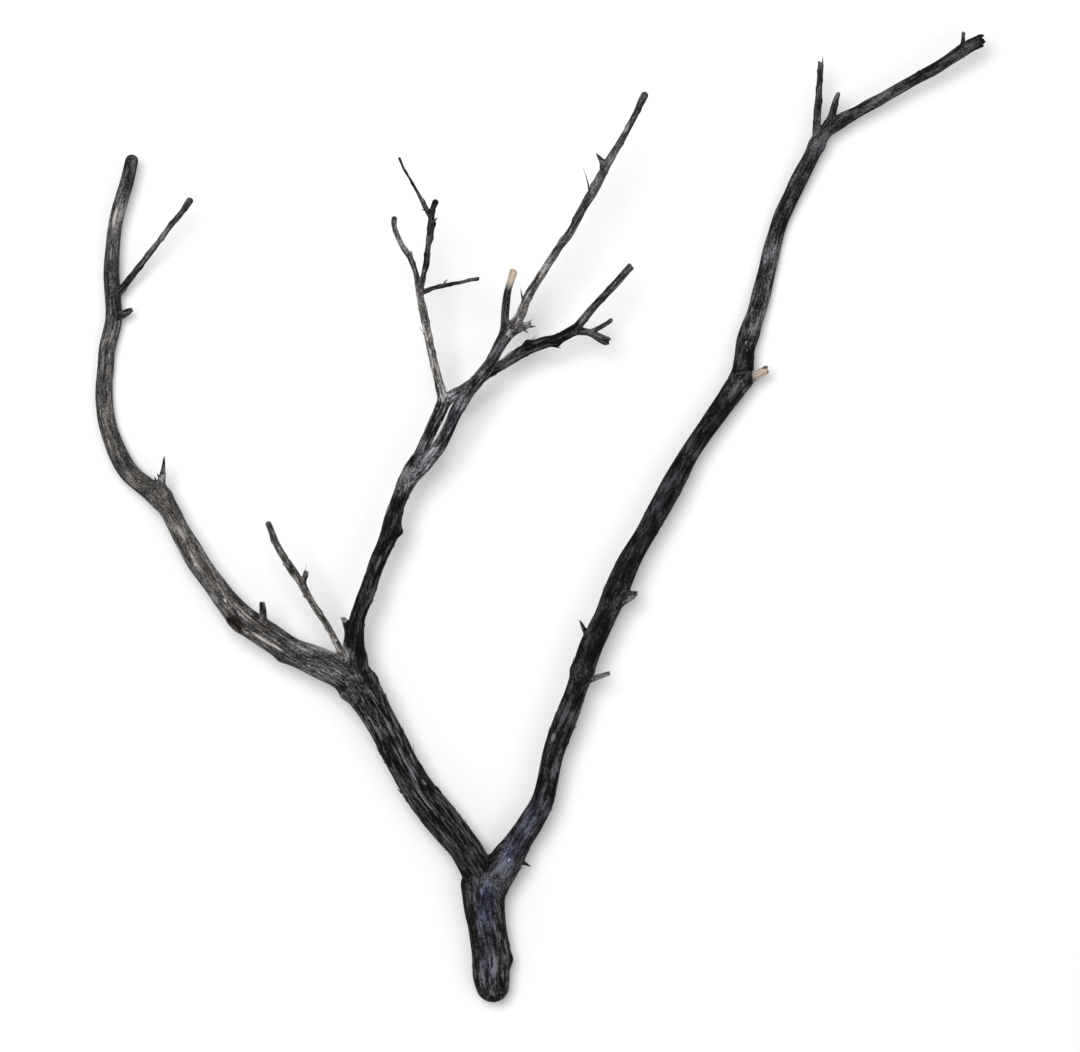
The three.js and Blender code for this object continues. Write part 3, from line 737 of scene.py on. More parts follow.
@dataclass
class Survey:
    """Measures every corner of the skin against the limbs.

    Each corner gets its own limb and the next nearest one, and what it takes from them: its
    place along and across the grain, the brightness and bareness of the wood, and its marks.
    The reaches are how far from a limb its corners are looked for, how far a fork's pucker and
    the blend of two limbs' tones go, and where the litter begins and is full beside a root.
    Twist is how far the grain turns around the limb on its way, in radians a metre. A mark is
    full up to its core, as a share of its size, and a knot has rings within a raised rim.
    """

    limbs: list[Limb]
    corners: np.ndarray
    reach: float = 16 * MM
    fork_reach: float = 4.5 * MM
    tone_reach: float = 14 * MM
    litter_reach: tuple[float, float] = (14 * MM, 26 * MM)
    twist: float = 2.2
    core: float = 0.45
    knot_rings: float = 9.0
    knot_rim: tuple[float, float] = (0.85, 0.22)
    knot_hollow: float = 0.7
    knot_ring_height: float = 0.35
    lump_falloff: float = 1.6
    # How fast the painted sheen fades from its middle.
    bloom_falloff: float = 1.5
    chunk: int = 20000
    owner: np.ndarray = field(init=False)
    gaps: np.ndarray = field(init=False)
    steps: np.ndarray = field(init=False)
    facts: dict[str, np.ndarray] = field(init=False)

    def __post_init__(self) -> None:
        """Measures the corners and works out their attributes."""
        count = len(self.corners)
        self.owner = np.zeros((2, count), int)
        self.gaps = np.full((2, count), 1.0, np.float32)
        self.steps = np.zeros((2, count), np.float32)
        for index, limb in enumerate(self.limbs):
            self.measure(index, limb)
        self.facts = self.attributes()

    def measure(self, index: int, limb: Limb) -> None:
        """Measures the corners near one limb, and keeps the nearest two limbs of each.

        Args:
            index: The limb's place in the list.
            limb: The limb.
        """
        grow = limb.radii.max() + self.reach
        low, high = limb.points.min(axis=0) - grow, limb.points.max(axis=0) + grow
        inside = np.all((self.corners > low) & (self.corners < high), axis=1)
        near = np.flatnonzero(inside)
        for start in range(0, len(near), self.chunk):
            rows = near[start : start + self.chunk]
            origin = self.corners[rows].mean(axis=0)
            places = (self.corners[rows] - origin).astype(np.float32)
            gaps, steps = limb.nearest(places, origin)
            first = gaps < self.gaps[0, rows]
            second = ~first & (gaps < self.gaps[1, rows])
            for table, value in ((self.owner, index), (self.gaps, gaps), (self.steps, steps)):
                table[1, rows[first]] = table[0, rows[first]]
                table[0, rows[first]] = value if np.isscalar(value) else value[first]
                table[1, rows[second]] = value if np.isscalar(value) else value[second]

    def blended(self, values: list[np.ndarray]) -> np.ndarray:
        """One number for each corner, blended across the forks.

        Args:
            values: For each limb, the number at each of its points.

        Returns:
            The number at each corner.
        """
        found = np.zeros((2, len(self.corners)), np.float32)
        for rank in (0, 1):
            for index, limb in enumerate(self.limbs):
                rows = np.flatnonzero(self.owner[rank] == index)
                found[rank, rows] = limb.at(values[index], self.steps[rank, rows])
        other = 0.5 * (1 - smooth_step(self.gaps[1] - self.gaps[0], 0, self.tone_reach))
        return found[0] * (1 - other) + found[1] * other

    def attributes(self) -> dict[str, np.ndarray]:
        """Works out what the skin's nodes and finishes read at every corner.

        Returns:
            The attributes by name.
        """
        count = len(self.corners)
        grain = np.zeros((count, 3), np.float32)
        heading = np.zeros((count, 3), np.float32)
        side = np.zeros(count, np.float32)
        run = np.zeros(count, np.float32)
        radius = np.zeros(count, np.float32)
        for index, limb in enumerate(self.limbs):
            rows = np.flatnonzero(self.owner[0] == index)
            steps = self.steps[0, rows]
            away = self.corners[rows] - limb.at(limb.points, steps)
            right = (away * limb.at(limb.sideways, steps)).sum(axis=1)
            up = (away * limb.at(limb.upward, steps)).sum(axis=1)
            onward = (away * unit(limb.at(limb.heading, steps))).sum(axis=1)
            run[rows] = limb.at(limb.run, steps) + onward * np.sign(limb.run[-1] - limb.run[0])
            radius[rows] = limb.at(limb.radii, steps)
            turn = self.twist * run[rows]
            grain[rows, 0] = right * np.cos(turn) - up * np.sin(turn)
            grain[rows, 1] = right * np.sin(turn) + up * np.cos(turn)
            grain[rows, 2] = run[rows]
            side[rows] = np.arctan2(right, up)
            heading[rows] = unit(limb.at(limb.heading, steps))
        plans = [limb.plan for limb in self.limbs]
        shares = [np.linspace(0, 1, len(limb.points)) for limb in self.limbs]
        tone = [np.exp(np.interp(s, [0, 1], np.log(p.tone))) for s, p in zip(shares, plans)]
        bare = [np.interp(s, [0, 1], p.bare) for s, p in zip(shares, plans)]
        furrow = [np.full(len(s), p.furrow * MM) for s, p in zip(shares, plans)]
        facts = {
            "grain": grain,
            "along": heading,
            "tone": self.blended(tone),
            "bare": self.blended(bare),
            "furrow": self.blended(furrow),
            "fork": 1 - smooth_step(self.gaps[1] - self.gaps[0], 0, self.fork_reach),
            "girth": radius,
        }
        ways = [np.abs(limb.run - limb.run[0 if limb.parent is None else -1]) for limb in self.limbs]
        facts["strewn"] = self.blended([smooth_step(way, *self.litter_reach) for way in ways])
        facts |= {name: np.zeros(count, np.float32) for name in ("lift", "pale", "dark", "bloom", "red")}
        all_marks = list(MARKS)
        for limb in self.limbs:
            if limb.plan.slot is Slot.TWIG_BARK:
                all_marks += twig_swellings(limb.plan, float(np.ptp(limb.run)))
        for mark in all_marks:
            self.add_mark(mark, facts, side, run, radius)
        facts["pale"] = np.clip(facts["pale"], 0, 1)
        facts["dark"] = np.clip(facts["dark"], 0, 1)
        return facts

    def add_lump(self, mark: MarkPlan, limb: Limb, lift: np.ndarray) -> None:
        """Raises the skin around a place, whichever limb it belongs to there.

        Args:
            mark: The lump.
            limb: The limb that it stands on.
            lift: How far each corner is raised, which is changed.
        """
        middle, radius, heading, outward = limb.stand(mark.share, mark.side)
        away = self.corners - middle - outward * radius
        along = away @ heading
        across = np.linalg.norm(away - along[:, None] * heading, axis=1)
        squares = (along / (mark.length * MM)) ** 2 + (across / (mark.width * MM)) ** 2
        lift += mark.height * MM * np.exp(-self.lump_falloff * squares)

    def add_mark(self, mark: MarkPlan, facts: dict[str, np.ndarray], side: np.ndarray,
                 run: np.ndarray, radius: np.ndarray) -> None:
        """Adds one mark to the attributes of its limb's corners.

        Args:
            mark: The mark.
            facts: The attributes so far, which are changed.
            side: Each corner's angle around its limb.
            run: Each corner's way along the wood.
            radius: Each corner's limb radius.
        """
        index = next(i for i, limb in enumerate(self.limbs) if limb.plan.name == mark.limb)
        limb = self.limbs[index]
        rows = np.flatnonzero(self.owner[0] == index)
        middle = float(limb.at(limb.run, np.array([mark.share * (len(limb.points) - 1)]))[0])
        along = (run[rows] - middle) / (mark.length * MM)
        turn = (side[rows] - math.radians(mark.side) + math.pi) % (2 * math.pi) - math.pi
        around = turn * radius[rows] / (mark.width * MM)
        outward = np.sqrt(along**2 + around**2)
        cover = 1 - smooth_step(outward, self.core, 1.0)
        height = mark.height * MM
        if mark.kind is Mark.LUMP:
            self.add_lump(mark, limb, facts["lift"])
        elif mark.kind is Mark.KNOT:
            rings = 0.5 + 0.5 * np.cos(self.knot_rings * np.minimum(outward, 1.2))
            place, width = self.knot_rim
            rim = np.exp(-(((outward - place) / width) ** 2))
            hollow = (self.knot_hollow - self.knot_ring_height * rings) * cover
            facts["lift"][rows] += height * (rim - hollow)
            facts["dark"][rows] += mark.strength * cover * (1 - 0.3 * rings)
            facts["red"][rows] += mark.strength * cover
        elif mark.kind is Mark.PIT:
            facts["lift"][rows] -= height * cover
            facts["dark"][rows] += mark.strength * cover
        elif mark.kind is Mark.SCAR:
            facts["lift"][rows] += height * cover
            facts["pale"][rows] += mark.strength * cover
        elif mark.kind is Mark.DARK:
            facts["dark"][rows] += mark.strength * cover
        # Painted sheen: a bluish reflection painted on the upper side, strongest at its middle.
        elif mark.kind is Mark.BLOOM:
            facts["bloom"][rows] += mark.strength * np.exp(-self.bloom_falloff * outward**2)
        elif mark.kind is Mark.TINT:
            facts["red"][rows] += mark.strength * cover


# ---------------------------------------------------------------------------------------------
# Node trees
# ---------------------------------------------------------------------------------------------


class Value:
    """A number that flows through a node tree, which Python's operators add nodes to."""

    def __init__(self, graph: "Graph", socket: bpy.types.NodeSocket) -> None:
        """Wraps a node's output socket."""
        self.graph = graph
        self.socket = socket

    def maths(self, operation: str, *others: "Value | float") -> "Value":
        """Adds a Math node with this value first."""
        inputs = dict(enumerate([self, *others]))
        return self.graph.node("ShaderNodeMath", {"operation": operation}, inputs).value(0)

    def __add__(self, other: "Value | float") -> "Value":
        """This plus other."""
        return self.maths("ADD", other)

    __radd__ = __add__

    def __sub__(self, other: "Value | float") -> "Value":
        """This less other."""
        return self.maths("SUBTRACT", other)

    def __rsub__(self, other: float) -> "Value":
        """Other less this."""
        return (self * -1.0).maths("ADD", other)

    def __mul__(self, other: "Value | float") -> "Value":
        """This times other."""
        return self.maths("MULTIPLY", other)

    __rmul__ = __mul__

    def two_to(self) -> "Value":
        """Two to the power of this."""
        return self.graph.number(2.0).maths("POWER", self)

    def size(self) -> "Value":
        """This without its sign."""
        return self.maths("ABSOLUTE")

    def clipped(self, low: float = 0.0, high: float = 1.0) -> "Value":
        """This, kept between low and high."""
        return self.maths("MAXIMUM", low).maths("MINIMUM", high)

    def rise(self, low: float, high: float) -> "Value":
        """Adds a smooth step.

        Args:
            low: Where the step begins.
            high: Where it ends.

        Returns:
            0 where this is below low, 1 above high, and a smooth rise between them.
        """
        settings = {"interpolation_type": "SMOOTHSTEP"}
        inputs = {"Value": self, "From Min": low, "From Max": high}
        return self.graph.node("ShaderNodeMapRange", settings, inputs).value("Result")


class Arrow:
    """A vector or a colour that flows through a node tree."""

    def __init__(self, graph: "Graph", socket: bpy.types.NodeSocket) -> None:
        """Wraps a node's output socket."""
        self.graph = graph
        self.socket = socket

    def __mul__(self, other: "Arrow | tuple[float, float, float]") -> "Arrow":
        """This times other, each part by its own."""
        settings = {"operation": "MULTIPLY"}
        return self.graph.node("ShaderNodeVectorMath", settings, {0: self, 1: other}).arrow(0)

    def scaled(self, factor: "Value | float") -> "Arrow":
        """This times a number."""
        inputs = {"Vector": self, "Scale": factor}
        return self.graph.node("ShaderNodeVectorMath", {"operation": "SCALE"}, inputs).arrow(0)

    def mixed(self, other: "Arrow | tuple[float, float, float]", share: "Value | float") -> "Arrow":
        """Mixes two vectors or colours.

        Args:
            other: What this is mixed with.
            share: How much of it there is.

        Returns:
            This where share is 0, and other where it is 1.
        """
        settings = {"data_type": "VECTOR"}
        inputs = {0: share, 4: self, 5: other}
        return self.graph.node("ShaderNodeMix", settings, inputs).arrow(1)


class Added:
    """A node that was just added, for taking its outputs."""

    def __init__(self, graph: "Graph", node: bpy.types.Node) -> None:
        """Wraps the node."""
        self.graph = graph
        self.node = node

    def socket(self, output: str | int = 0) -> bpy.types.NodeSocket:
        """One of the node's output sockets."""
        return self.node.outputs[output]

    def value(self, output: str | int = 0) -> Value:
        """An output that is a number."""
        return Value(self.graph, self.node.outputs[output])

    def arrow(self, output: str | int = 0) -> Arrow:
        """An output that is a vector or a colour."""
        return Arrow(self.graph, self.node.outputs[output])


class Graph:
    """A node tree, and the one way that nodes are added to it."""

    def __init__(self, tree: bpy.types.NodeTree) -> None:
        """Works on a tree."""
        self.tree = tree

    def node(self, kind: str, settings: dict[str, object] | None = None,
             inputs: dict[str | int, object] | None = None) -> Added:
        """Adds a node.

        Args:
            kind: The node's type.
            settings: The node's own settings, which are set first.
            inputs: What goes into its sockets: plain values, or what other nodes give.

        Returns:
            The added node.
        """
        node = self.tree.nodes.new(kind)
        for name, setting in (settings or {}).items():
            setattr(node, name, setting)
        for name, value in (inputs or {}).items():
            self.feed(node.inputs[name], value)
        return Added(self, node)

    def feed(self, target: bpy.types.NodeSocket, value: object) -> None:
        """Links or sets one input socket.

        Args:
            target: The socket.
            value: What another node gives, or a plain value.
        """
        if isinstance(value, (Value, Arrow)):
            self.tree.links.new(value.socket, target)
        elif isinstance(value, Added):
            self.tree.links.new(value.socket(), target)
        elif isinstance(value, bpy.types.NodeSocket):
            self.tree.links.new(value, target)
        else:
            target.default_value = value

    def number(self, value: float) -> Value:
        """A number as a value."""
        added = self.node("ShaderNodeMath", {"operation": "ADD"}, {0: value, 1: 0.0})
        return added.value(0)

    def noise(self, places: Arrow, detail: float = 2.0, roughness: float = 0.5) -> Value:
        """Noise from 0 to 1 whose waves are one unit of the places long."""
        inputs = {"Vector": places, "Scale": 1.0, "Detail": detail, "Roughness": roughness}
        return self.node("ShaderNodeTexNoise", {}, inputs).value(0)


@dataclass(frozen=True)
class Layer:
    """One layer of noise on the wood.

    Across and along are the sizes of its waves, in millimetres. Detail and roughness are the
    noise's own. Weight is how much it counts on smooth wood, and furrowed what deep furrows add.
    """

    across: float
    along: float
    detail: float
    roughness: float
    weight: float = 1.0
    furrowed: float = 0.0

    def noise(self, graph: Graph, places: Arrow) -> Value:
        """The noise itself, from 0 to 1."""
        scale = (1 / (self.across * MM), 1 / (self.across * MM), 1 / (self.along * MM))
        return graph.noise(places * scale, self.detail, self.roughness)

    def swing(self, graph: Graph, places: Arrow) -> Value:
        """How far the noise is from its middle, either way."""
        return (self.noise(graph, places) - 0.5).size()

    def weighed(self, streaky: Value) -> Value:
        """The weight where the furrows are as deep as streaky says, from 0 to 1."""
        return self.weight + streaky * self.furrowed


class GeometryTree(Graph):
    """A geometry node tree with named inputs, which turns an object's mesh into a new one."""

    def __init__(self, name: str) -> None:
        """Makes an empty tree with a geometry input and output.

        Args:
            name: The tree's name.
        """
        super().__init__(bpy.data.node_groups.new(name, "GeometryNodeTree"))
        self.name = name
        self.sizes: dict[str, float | int] = {}
        face = self.tree.interface
        face.new_socket("Geometry", in_out="INPUT", socket_type="NodeSocketGeometry")
        face.new_socket("Geometry", in_out="OUTPUT", socket_type="NodeSocketGeometry")
        self.way_in = self.node("NodeGroupInput")
        self.way_out = self.node("NodeGroupOutput")

    def size(self, name: str, value: float | int) -> Value:
        """Adds a named input.

        Args:
            name: Its name.
            value: What it will be when the tree runs.

        Returns:
            The input, for the tree's nodes.
        """
        kind = "NodeSocketInt" if isinstance(value, int) else "NodeSocketFloat"
        self.tree.interface.new_socket(name, in_out="INPUT", socket_type=kind)
        self.sizes[name] = value
        return self.way_in.value(name)

    def attribute(self, name: str) -> Value:
        """A number that the mesh carries."""
        settings = {"data_type": "FLOAT"}
        return self.node("GeometryNodeInputNamedAttribute", settings, {"Name": name}).value(0)

    def attribute_arrow(self, name: str) -> Arrow:
        """A vector that the mesh carries."""
        settings = {"data_type": "FLOAT_VECTOR"}
        return self.node("GeometryNodeInputNamedAttribute", settings, {"Name": name}).arrow(0)

    def stored(self, geometry: object, name: str, value: Value | Arrow) -> Added:
        """Writes a number or a vector on the mesh's points.

        Args:
            geometry: What carries the points.
            name: The attribute's name.
            value: What is written.

        Returns:
            The node, whose output is the geometry with the attribute.
        """
        kind = "FLOAT" if isinstance(value, Value) else "FLOAT_VECTOR"
        settings = {"data_type": kind, "domain": "POINT"}
        inputs = {"Geometry": geometry, "Name": name, "Value": value}
        return self.node("GeometryNodeStoreNamedAttribute", settings, inputs)

    def draw(self, low: float, high: float, seed: int) -> Value:
        """A random number for each point."""
        inputs = {2: low, 3: high, "Seed": seed}
        return self.node("FunctionNodeRandomValue", {"data_type": "FLOAT"}, inputs).value(1)

    def combined(self, x: Value | float, y: Value | float, z: Value | float) -> Arrow:
        """A vector from three numbers."""
        return self.node("ShaderNodeCombineXYZ", {}, {0: x, 1: y, 2: z}).arrow(0)

    def finish(self, geometry: object, material: bpy.types.Material) -> None:
        """Realizes what the tree made, gives it its material and passes it out.

        Args:
            geometry: What the tree made.
            material: Its material.
        """
        real = self.node("GeometryNodeRealizeInstances", {}, {"Geometry": geometry})
        inputs = {"Geometry": real, "Material": material}
        dressed = self.node("GeometryNodeSetMaterial", {}, inputs)
        self.feed(self.way_out.node.inputs[0], dressed)

    def applied(self, source: bpy.types.Object, name: str) -> bpy.types.Object:
        """Runs the tree on an object.

        Args:
            source: The object whose mesh goes in. It is kept as it is.
            name: The new object's name.

        Returns:
            A new object with the plain mesh that comes out.
        """
        modifier = source.modifiers.new(self.name, "NODES")
        modifier.node_group = self.tree
        for item in self.tree.interface.items_tree:
            if item.name in self.sizes:
                modifier[item.identifier] = self.sizes[item.name]
        graph = bpy.context.evaluated_depsgraph_get()
        result = bpy.data.meshes.new_from_object(source.evaluated_get(graph))
        source.modifiers.remove(modifier)
        made = bpy.data.objects.new(name, result)
        bpy.context.scene.collection.objects.link(made)
        return made


@dataclass
class BarkRelief:
    """Raises the skin's lumps and marks, and cuts its furrows along the grain.

    The furrows run where their noises pass the middle, within the share of the noise that width
    says, and level is what brings their edges down to the skin. The puckers take their place at
    the forks. The lumps are as high as lump height says, in diameters of the limb.
    """

    coarse: Layer = Layer(4.6, 62, 2.5, 0.55, weight=0.62)
    fine: Layer = Layer(2.1, 26, 2.0, 0.5, weight=0.38)
    coarse_width: float = 0.13
    fine_width: float = 0.16
    level: float = 0.55
    pucker: Layer = Layer(4, 4, 3.0, 0.6, weight=1.7)
    lumps: Layer = Layer(20, 44, 2.0, 0.5)
    lump_height: float = 0.055

    def tree(self, material: bpy.types.Material) -> GeometryTree:
        """Builds the node tree.

        Args:
            material: What the skin is made of.

        Returns:
            The tree.
        """
        tree = GeometryTree("bark_relief")
        depth = tree.size("Furrow Depth", 1.0)
        swell = tree.size("Lump Height", self.lump_height)
        grain = tree.attribute_arrow("grain")
        ridges = self.coarse.swing(tree, grain).rise(0.0, self.coarse_width) * self.coarse.weight
        fine = self.fine.swing(tree, grain).rise(0.0, self.fine_width) * self.fine.weight
        ridges = ridges + fine - self.level
        place = tree.node("GeometryNodeInputPosition").arrow(0)
        pucker = self.pucker.noise(tree, place) * self.pucker.weight - 1.0
        fork = tree.attribute("fork")
        pattern = ridges * (1 - fork) + pucker * fork
        lumps = self.lumps.noise(tree, grain) - 0.5
        rise = tree.attribute("lift") + pattern * depth * tree.attribute("furrow")
        rise = rise + lumps * swell * tree.attribute("girth") * 2.0
        normal = tree.node("GeometryNodeInputNormal").arrow(0)
        inputs = {"Geometry": tree.way_in.socket(0), "Offset": normal.scaled(rise)}
        moved = tree.node("GeometryNodeSetPosition", {}, inputs)
        tree.finish(tree.stored(moved, "relief", pattern), material)
        return tree


# ---------------------------------------------------------------------------------------------
# Finishes
# ---------------------------------------------------------------------------------------------


@dataclass(frozen=True)
class WoodFinish:
    """Bark and bare wood, whose mixture the skin's own attributes set.

    A hue has a brightness of about one. The brightness itself comes from the tone at a place,
    which doubles and halves with the level: the sum of the relief and the layers of noise.
    Through the relief the furrows and cracks are darker and the ridges lighter: partly the bark's
    own dark furrows and partly painted shade and light. Contrast is how many times it doubles for
    a level of one, and depth how much more it halves below zero. The ranges of cracks, lines and
    flecks are where in their noise they show. The bluish sheen is painted: a reflection painted
    on the upper sides.
    """

    slot: Slot
    grit: Layer = Layer(1.6, 3.4, 3.0, 0.7, 1.25, -0.4)
    fibre: Layer = Layer(1.1, 22, 3.0, 0.62, 0.3, 1.3)
    streak: Layer = Layer(2.4, 58, 4.0, 0.6, 0.35, 1.1)
    patch: Layer = Layer(11, 28, 4.0, 0.6, 2.4, -1.1)
    speck: Layer = Layer(1.5, 1.5, 3.0, 0.65, 0.9)
    crack: Layer = Layer(3.4, 48, 2.0, 0.5, 0.25, 0.75)
    line: Layer = Layer(2.3, 80, 2.0, 0.5, 0.05, 0.32)
    fleck: Layer = Layer(1.5, 9, 2.0, 0.5, 0.2)
    # How much the relief darkens the furrows and lightens the ridges, on smooth and on furrowed wood:
    # partly the bark's own dark furrows and partly painted shade and light.
    relief: tuple[float, float] = (0.1, 0.85)
    crack_range: tuple[float, float] = (0.004, 0.035)
    line_range: tuple[float, float] = (0.002, 0.028)
    fleck_range: tuple[float, float] = (0.64, 0.72)
    # How much darker the cracks are: partly their own dark and partly painted shade.
    crack_dark_and_shade: float = 0.42
    bare_patches: float = 1.3
    bare_calm: float = 0.2
    furrow_full: float = 1.1 * MM
    contrast: float = 6.4
    depth: float = 0.35
    highest_level: float = 0.3
    bark_hue: tuple[float, float, float] = (0.97, 0.98, 1.06)
    deep_hue: tuple[float, float, float] = (1.10, 0.98, 0.88)
    grey_hue: tuple[float, float, float] = (1.07, 1.00, 0.94)
    fresh_hue: tuple[float, float, float] = (1.22, 0.98, 0.78)
    # The hue of the painted sheen, a bluish reflection on the upper sides.
    bloom_hue: tuple[float, float, float] = (0.86, 0.90, 1.42)
    knot_hue: tuple[float, float, float] = (1.26, 0.94, 0.86)
    deep_range: tuple[float, float] = (-0.5, 0.25)
    fresh_range: tuple[float, float] = (0.12, 0.34)
    fresh_share: float = 0.1
    # How much the painted sheen brightens the wood.
    bloom_brightness: float = 0.04
    pale_brightness: float = 0.56
    dark_share: float = 0.88
    least_brightness: float = 0.004
    most_brightness: float = 0.75
    roughness: float = 0.72
    specular: float = 0.03
    bump_strength: float = 0.8
    bump_depth: float = 0.3 * MM

    def material(self) -> bpy.types.Material:
        """Builds the material.

        Returns:
            The material, named after its slot.
        """
        material = bpy.data.materials.new(self.slot.value)
        material.use_nodes = True
        material.node_tree.nodes.clear()
        graph = ShaderGraph(material.node_tree)
        grain = graph.attribute_arrow("grain")
        place = graph.node("ShaderNodeTexCoord").arrow("Object")
        streaky = (graph.attribute("furrow") * (1 / self.furrow_full)).clipped()
        fibre, streak = self.fibre.noise(graph, grain), self.streak.noise(graph, grain)
        speck = self.speck.noise(graph, place)
        crack = 1 - self.crack.swing(graph, grain).rise(*self.crack_range)
        crack = crack * self.crack.weighed(streaky)

        level = self.level(graph, streaky, fibre, streak, speck, crack)
        brightness = self.brightness(graph, level, fibre, streak)
        colour = self.hue(graph, level, brightness).scaled(brightness)
        height = level * 0.5 - crack * 0.6
        inputs = {"Strength": self.bump_strength, "Distance": self.bump_depth, "Height": height}
        normal = graph.node("ShaderNodeBump", {}, inputs)
        rough = self.roughness + (speck - 0.5) * 0.3 - graph.attribute("bloom") * 0.1 + crack * 0.1
        inputs = {"Base Color": colour, "Roughness": rough.clipped(0.35, 1), "Normal": normal,
                  "Specular IOR Level": self.specular}
        surface = graph.node("ShaderNodeBsdfPrincipled", {}, inputs)
        graph.node("ShaderNodeOutputMaterial", {}, {"Surface": surface})
        return material

    def level(self, graph: "ShaderGraph", streaky: Value, fibre: Value, streak: Value,
              speck: Value, crack: Value) -> Value:
        """Sums the relief and the noises.

        Args:
            graph: The material's nodes.
            streaky: How deep the furrows are, from 0 to 1.
            fibre: The noise of the fibres.
            streak: The noise of the streaks.
            speck: The noise of the specks.
            crack: 1 in the cracks.

        Returns:
            The level, which is about 0 in the middle.
        """
        grain = graph.attribute_arrow("grain")
        bare = graph.attribute("bare")
        plain, furrowed = self.relief
        # The relief darkens the furrows and lightens the ridges: partly the bark's own dark furrows and
        # partly painted shade and light.
        level = graph.attribute("relief") * (plain + streaky * furrowed)
        level = level + (self.grit.noise(graph, grain) - 0.5) * self.grit.weighed(streaky)
        level = level + (fibre - 0.5) * self.fibre.weighed(streaky)
        level = level + (streak - 0.5) * self.streak.weighed(streaky)
        patchy = self.patch.weighed(streaky) - bare * self.bare_patches
        level = level + (self.patch.noise(graph, grain) - 0.5) * patchy
        level = level + (speck - 0.5) * self.speck.weight
        line = 1 - self.line.swing(graph, grain).rise(*self.line_range)
        fleck = self.fleck.noise(graph, grain).rise(*self.fleck_range)
        # The cracks are painted darker: partly their own dark and partly painted shade.
        level = level + line * self.line.weighed(streaky) - crack * self.crack_dark_and_shade
        level = (level + fleck * self.fleck.weight) * (1 - bare * self.bare_calm)
        return level.maths("MINIMUM", self.highest_level)

    def brightness(self, graph: "ShaderGraph", level: Value, fibre: Value, streak: Value) -> Value:
        """How bright the wood is, with its painted bluish sheen, its pale scars and its dark marks.

        Args:
            graph: The material's nodes.
            level: The sum of the relief and the noises.
            fibre: The noise of the fibres.
            streak: The noise of the streaks.

        Returns:
            The brightness, which the colour's hue is scaled by.
        """
        pale = graph.attribute("pale")
        # Below zero the wood darkens faster, deepest in the furrows and cracks: partly painted shade.
        deeper = level.maths("MINIMUM", 0.0) * self.depth
        bright = graph.attribute("tone") * ((level + deeper) * self.contrast).two_to()
        # Painted sheen: a bluish reflection painted on the upper sides, brighter on the raised wood.
        bloom = graph.attribute("bloom") * self.bloom_brightness
        bright = bright + bloom * (level + 0.7).clipped(0.0, 1.4)
        white = self.pale_brightness * (0.72 + (fibre - 0.5) * 0.9 + (streak - 0.5) * 0.7)
        bright = bright * (1 - pale) + white * pale
        bright = bright * (1 - graph.attribute("dark") * self.dark_share)
        return bright.clipped(self.least_brightness, self.most_brightness)

    def hue(self, graph: "ShaderGraph", level: Value, brightness: Value) -> Arrow:
        """The wood's hue, from bark to bare wood and fresh wood.

        Args:
            graph: The material's nodes.
            level: The sum of the relief and the noises.
            brightness: How bright the wood is.

        Returns:
            The hue.
        """
        bare = graph.attribute("bare")
        hue = graph.hue(self.deep_hue).mixed(self.bark_hue, level.rise(*self.deep_range))
        hue = hue.mixed(self.grey_hue, bare)
        # The bluish hue of the painted sheen.
        hue = hue.mixed(self.bloom_hue, graph.attribute("bloom").clipped())
        hue = hue.mixed(self.knot_hue, graph.attribute("red").clipped())
        return hue.mixed(self.fresh_hue, brightness.rise(*self.fresh_range) * bare * self.fresh_share)


FINISHES = (
    WoodFinish(Slot.DARK_BARK),
    WoodFinish(Slot.WEATHERED_WOOD),
    WoodFinish(Slot.TWIG_BARK, grey_hue=(1.10, 1.00, 0.89)),
    WoodFinish(Slot.FRESH_WOOD, fresh_share=1.0),
)


class ShaderGraph(Graph):
    """A material's node tree."""

    def attribute(self, name: str) -> Value:
        """A number that the mesh carries."""
        settings = {"attribute_name": name, "attribute_type": "GEOMETRY"}
        return self.node("ShaderNodeAttribute", settings).value("Fac")

    def attribute_arrow(self, name: str) -> Arrow:
        """A vector that the mesh carries."""
        settings = {"attribute_name": name, "attribute_type": "GEOMETRY"}
        return self.node("ShaderNodeAttribute", settings).arrow("Vector")

    def hue(self, colour: tuple[float, float, float]) -> Arrow:
        """A colour as a vector."""
        parts = dict(enumerate(colour))
        return self.node("ShaderNodeCombineXYZ", {}, parts).arrow(0)


# ---------------------------------------------------------------------------------------------
# The pieces
# ---------------------------------------------------------------------------------------------


def link_mesh(name: str, corners: np.ndarray, faces: list[list[int]],
              edges: list[tuple[int, int]] | None = None) -> bpy.types.Object:
    """Makes an object and puts it in the scene.

    Args:
        name: Its name.
        corners: Its corners.
        faces: Its faces, as rows of corners.
        edges: Its loose edges, if it has any.

    Returns:
        The object.
    """
    mesh = bpy.data.meshes.new(name)
    mesh.from_pydata(corners, edges or [], faces)
    made = bpy.data.objects.new(name, mesh)
    bpy.context.scene.collection.objects.link(made)
    return made


def write_attribute(mesh: bpy.types.Mesh, name: str, values: np.ndarray) -> None:
    """Writes one attribute on a mesh's corners.

    Args:
        mesh: The mesh.
        name: The attribute's name.
        values: A number or a vector for each corner.
    """
    kind, key = ("FLOAT_VECTOR", "vector") if values.ndim > 1 else ("FLOAT", "value")
    layer = mesh.attributes.new(name, kind, "POINT")
    layer.data.foreach_set(key, np.ascontiguousarray(values, np.float32).reshape(-1))


def read_attribute(mesh: bpy.types.Mesh, name: str) -> np.ndarray:
    """Reads one attribute from a mesh's corners.

    Args:
        mesh: The mesh.
        name: The attribute's name.

    Returns:
        A number or a vector for each corner.
    """
    layer = mesh.attributes[name]
    wide = layer.data_type == "FLOAT_VECTOR"
    values = np.zeros(len(layer.data) * (3 if wide else 1), np.float32)
    layer.data.foreach_get("vector" if wide else "value", values)
    return values.reshape(-1, 3) if wide else values


